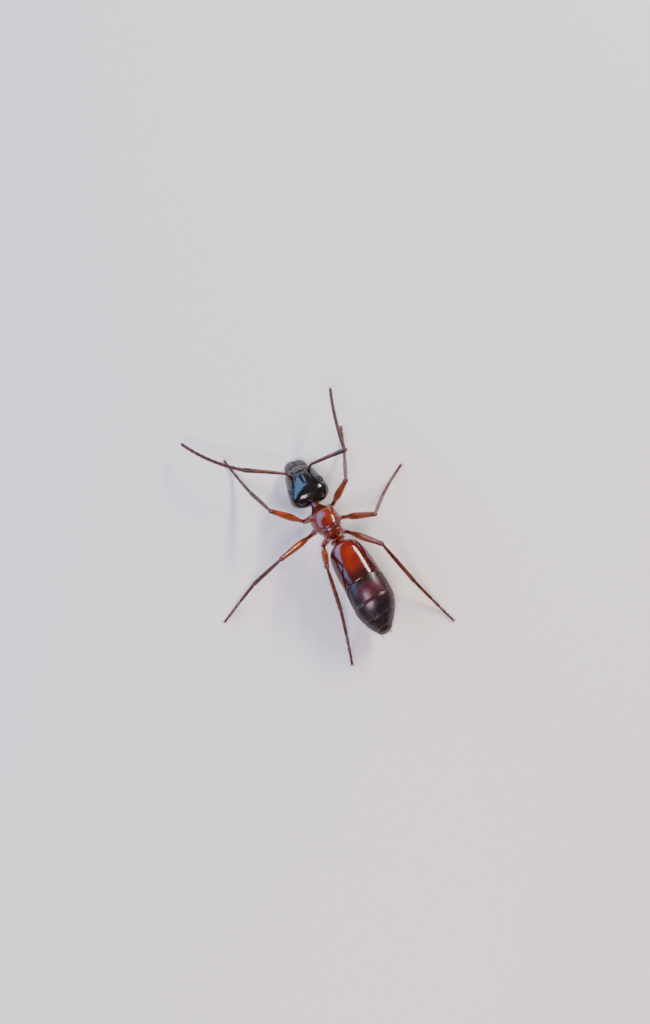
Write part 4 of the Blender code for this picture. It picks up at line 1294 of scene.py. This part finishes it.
gasterCoat = Coat()
for tile, (front, rear) in enumerate(zip(gasterPlan["seams"], gasterPlan["seams"][1:])):
    wide = gasterOval((front + rear) / 2).wide
    gasterHairs = [
        (30, (rear + 0.02, rear + 0.12), (-40, 220), (0.16, 0.30), 0.0061, 0.45, 0.18),
        (int(26 * wide), (rear + 0.15, front - 0.15), (-30, 210), (0.16, 0.30), 0.0058, 0.7, 0.18),
        (int(18 * wide), (rear + 0.1, front - 0.1), (225, 315), (0.12, 0.24), 0.0054, 0.6, 0.18),
        (int(420 * wide), (rear, front), (0, 360), (0.07, 0.12), 0.0025, 0.13, 0.08),
    ]
    dress(gasterCoat, gasterSkin, gasterHairs, tile, -1)
tipHairs = [(24, (-7.0, -6.9), (0, 360), (0.10, 0.18), 0.005, 0.2, 0.18)]
dress(gasterCoat, gasterSkin, tipHairs, 7, -1)
gasterCoat.finish("gasterBristles")

limbHairs = {
    "femur": [
        (90, (0.12, 0.97), (0, 360), (0.05, 0.09), 0.0029, 0.2, 0.18),
        (7, (0.2, 0.9), (240, 300), (0.12, 0.20), 0.0043, 0.8, 0.18),
    ],
    "tibia": [
        (130, (0.05, 0.98), (0, 360), (0.06, 0.11), 0.0035, 0.3, 0.18),
        (16, (0.3, 0.97), (235, 305), (0.10, 0.15), 0.0058, 0.55, 0.18),
    ],
    "tarsus": [(34, (0.0, 1.0), (0, 360), (0.05, 0.09), 0.0036, 0.35, 0.18)],
    "scape": [
        (90, (0.02, 0.98), (0, 360), (0.05, 0.08), 0.0029, 0.25, 0.18),
        (26, (0.02, 0.98), (0, 360), (0.09, 0.15), 0.0043, 0.75, 0.18),
    ],
    "funiculus": [(60, (0.02, 0.98), (0, 360), (0.035, 0.06), 0.0025, 0.3, 0.18)],
}
limbCoats = {"legs": Coat(), "feelers": Coat()}
for tile, (start, finish, radii, kind) in enumerate(limbSkins):
    side, rise = squareTo((finish - start).normalized())
    limb = Skin(lambda t: Oval(t, start.lerp(finish, t), side, rise, between(radii, t)[0]), 0.0, 1.0)
    dress(limbCoats["feelers" if kind in ("scape", "funiculus") else "legs"], limb, limbHairs[kind], tile)
limbCoats["legs"].finish("legBristles")
limbCoats["feelers"].finish("feelerBristles")
print("bristles done")


studio = {
    "floor": 1.2, "floorColour": (0.95, 0.87, 0.77), "floorRough": 0.75,
    "air": (0.96, 0.95, 0.94), "airStrength": 0.205,
    # the picture's right and up as they lie on the floor
    "right": (-0.848, 0.53, 0), "up": (-0.53, -0.848, 0),
    "tilt": 78.0, "distance": 85.0, "frameHeight": 58.5, "pixels": 1024, "anchor": (0.0, 0.0, 2.7),
    "aside": (3.0, 11.0), "sensor": 24, "clip": (0.001, 10),
}
softBoxes = {
    # across and up from the target and height (mm), width and length (mm), watts, colour
    "leftBox": ((-175, 78, 95), (118, 420), 0.90, (0.20, 0.49, 1.0)),
    "rightBox": ((104, 122, 112), (24, 120), 0.42, (1.0, 0.93, 0.87)),
    "rearBox": ((-8, -80, 138), (60, 54), 0.22, (0.97, 0.74, 0.93)),
}
imageRight, imageUp = Vector(studio["right"]), Vector(studio["up"])
target = spot(*studio["anchor"])

floorShape = bmesh.new()
bmesh.ops.create_grid(floorShape, x_segments=1, y_segments=1, size=studio["floor"])
floorMesh = toMesh("floor", floorShape)
floor = addObject("floor", floorMesh)
floorFinish = Finish("paleFloor")
floorFinish.set(Base_Color=studio["floorColour"], Roughness=studio["floorRough"])
floorMesh.materials.append(floorFinish.material)

world = bpy.data.worlds.new("studioAir")
bpy.context.scene.world = world
world.use_nodes = True
air = world.node_tree.nodes["Background"]
air.inputs["Color"].default_value = (*studio["air"], 1)
air.inputs["Strength"].default_value = studio["airStrength"]

for name, ((across, up, height), (wide, long), watts, colour) in softBoxes.items():
    data = bpy.data.lights.new(name, "AREA")
    data.shape = "RECTANGLE"
    data.size, data.size_y = wide * mm, long * mm
    data.energy, data.color = watts, colour
    place = target + imageRight * across + imageUp * up + Vector((0, 0, height))
    back = (place - target).normalized()
    side = imageUp.cross(back).normalized()
    addObject(name, data).matrix_world = Matrix.Translation(place * mm) @ facing(side, back.cross(side), back)

tilt = math.radians(studio["tilt"])
back = (-imageUp * math.cos(tilt) + Vector((0, 0, math.sin(tilt)))).normalized()
camUp = back.cross(imageRight).normalized()
pixel = studio["frameHeight"] / studio["pixels"]
across, up = studio["aside"]
eyePoint = target + back * studio["distance"] - imageRight * (across * pixel) + camUp * (up * pixel)
camData = bpy.data.cameras.new("camera")
camData.sensor_fit = "VERTICAL"
camData.sensor_height = studio["sensor"]
camData.lens = studio["sensor"] * studio["distance"] / studio["frameHeight"]
camData.clip_start, camData.clip_end = studio["clip"]
camera = addObject("camera", camData)
camera.matrix_world = Matrix.Translation(eyePoint * mm) @ facing(imageRight, camUp, back)
bpy.context.scene.camera = camera
print("studio ready")
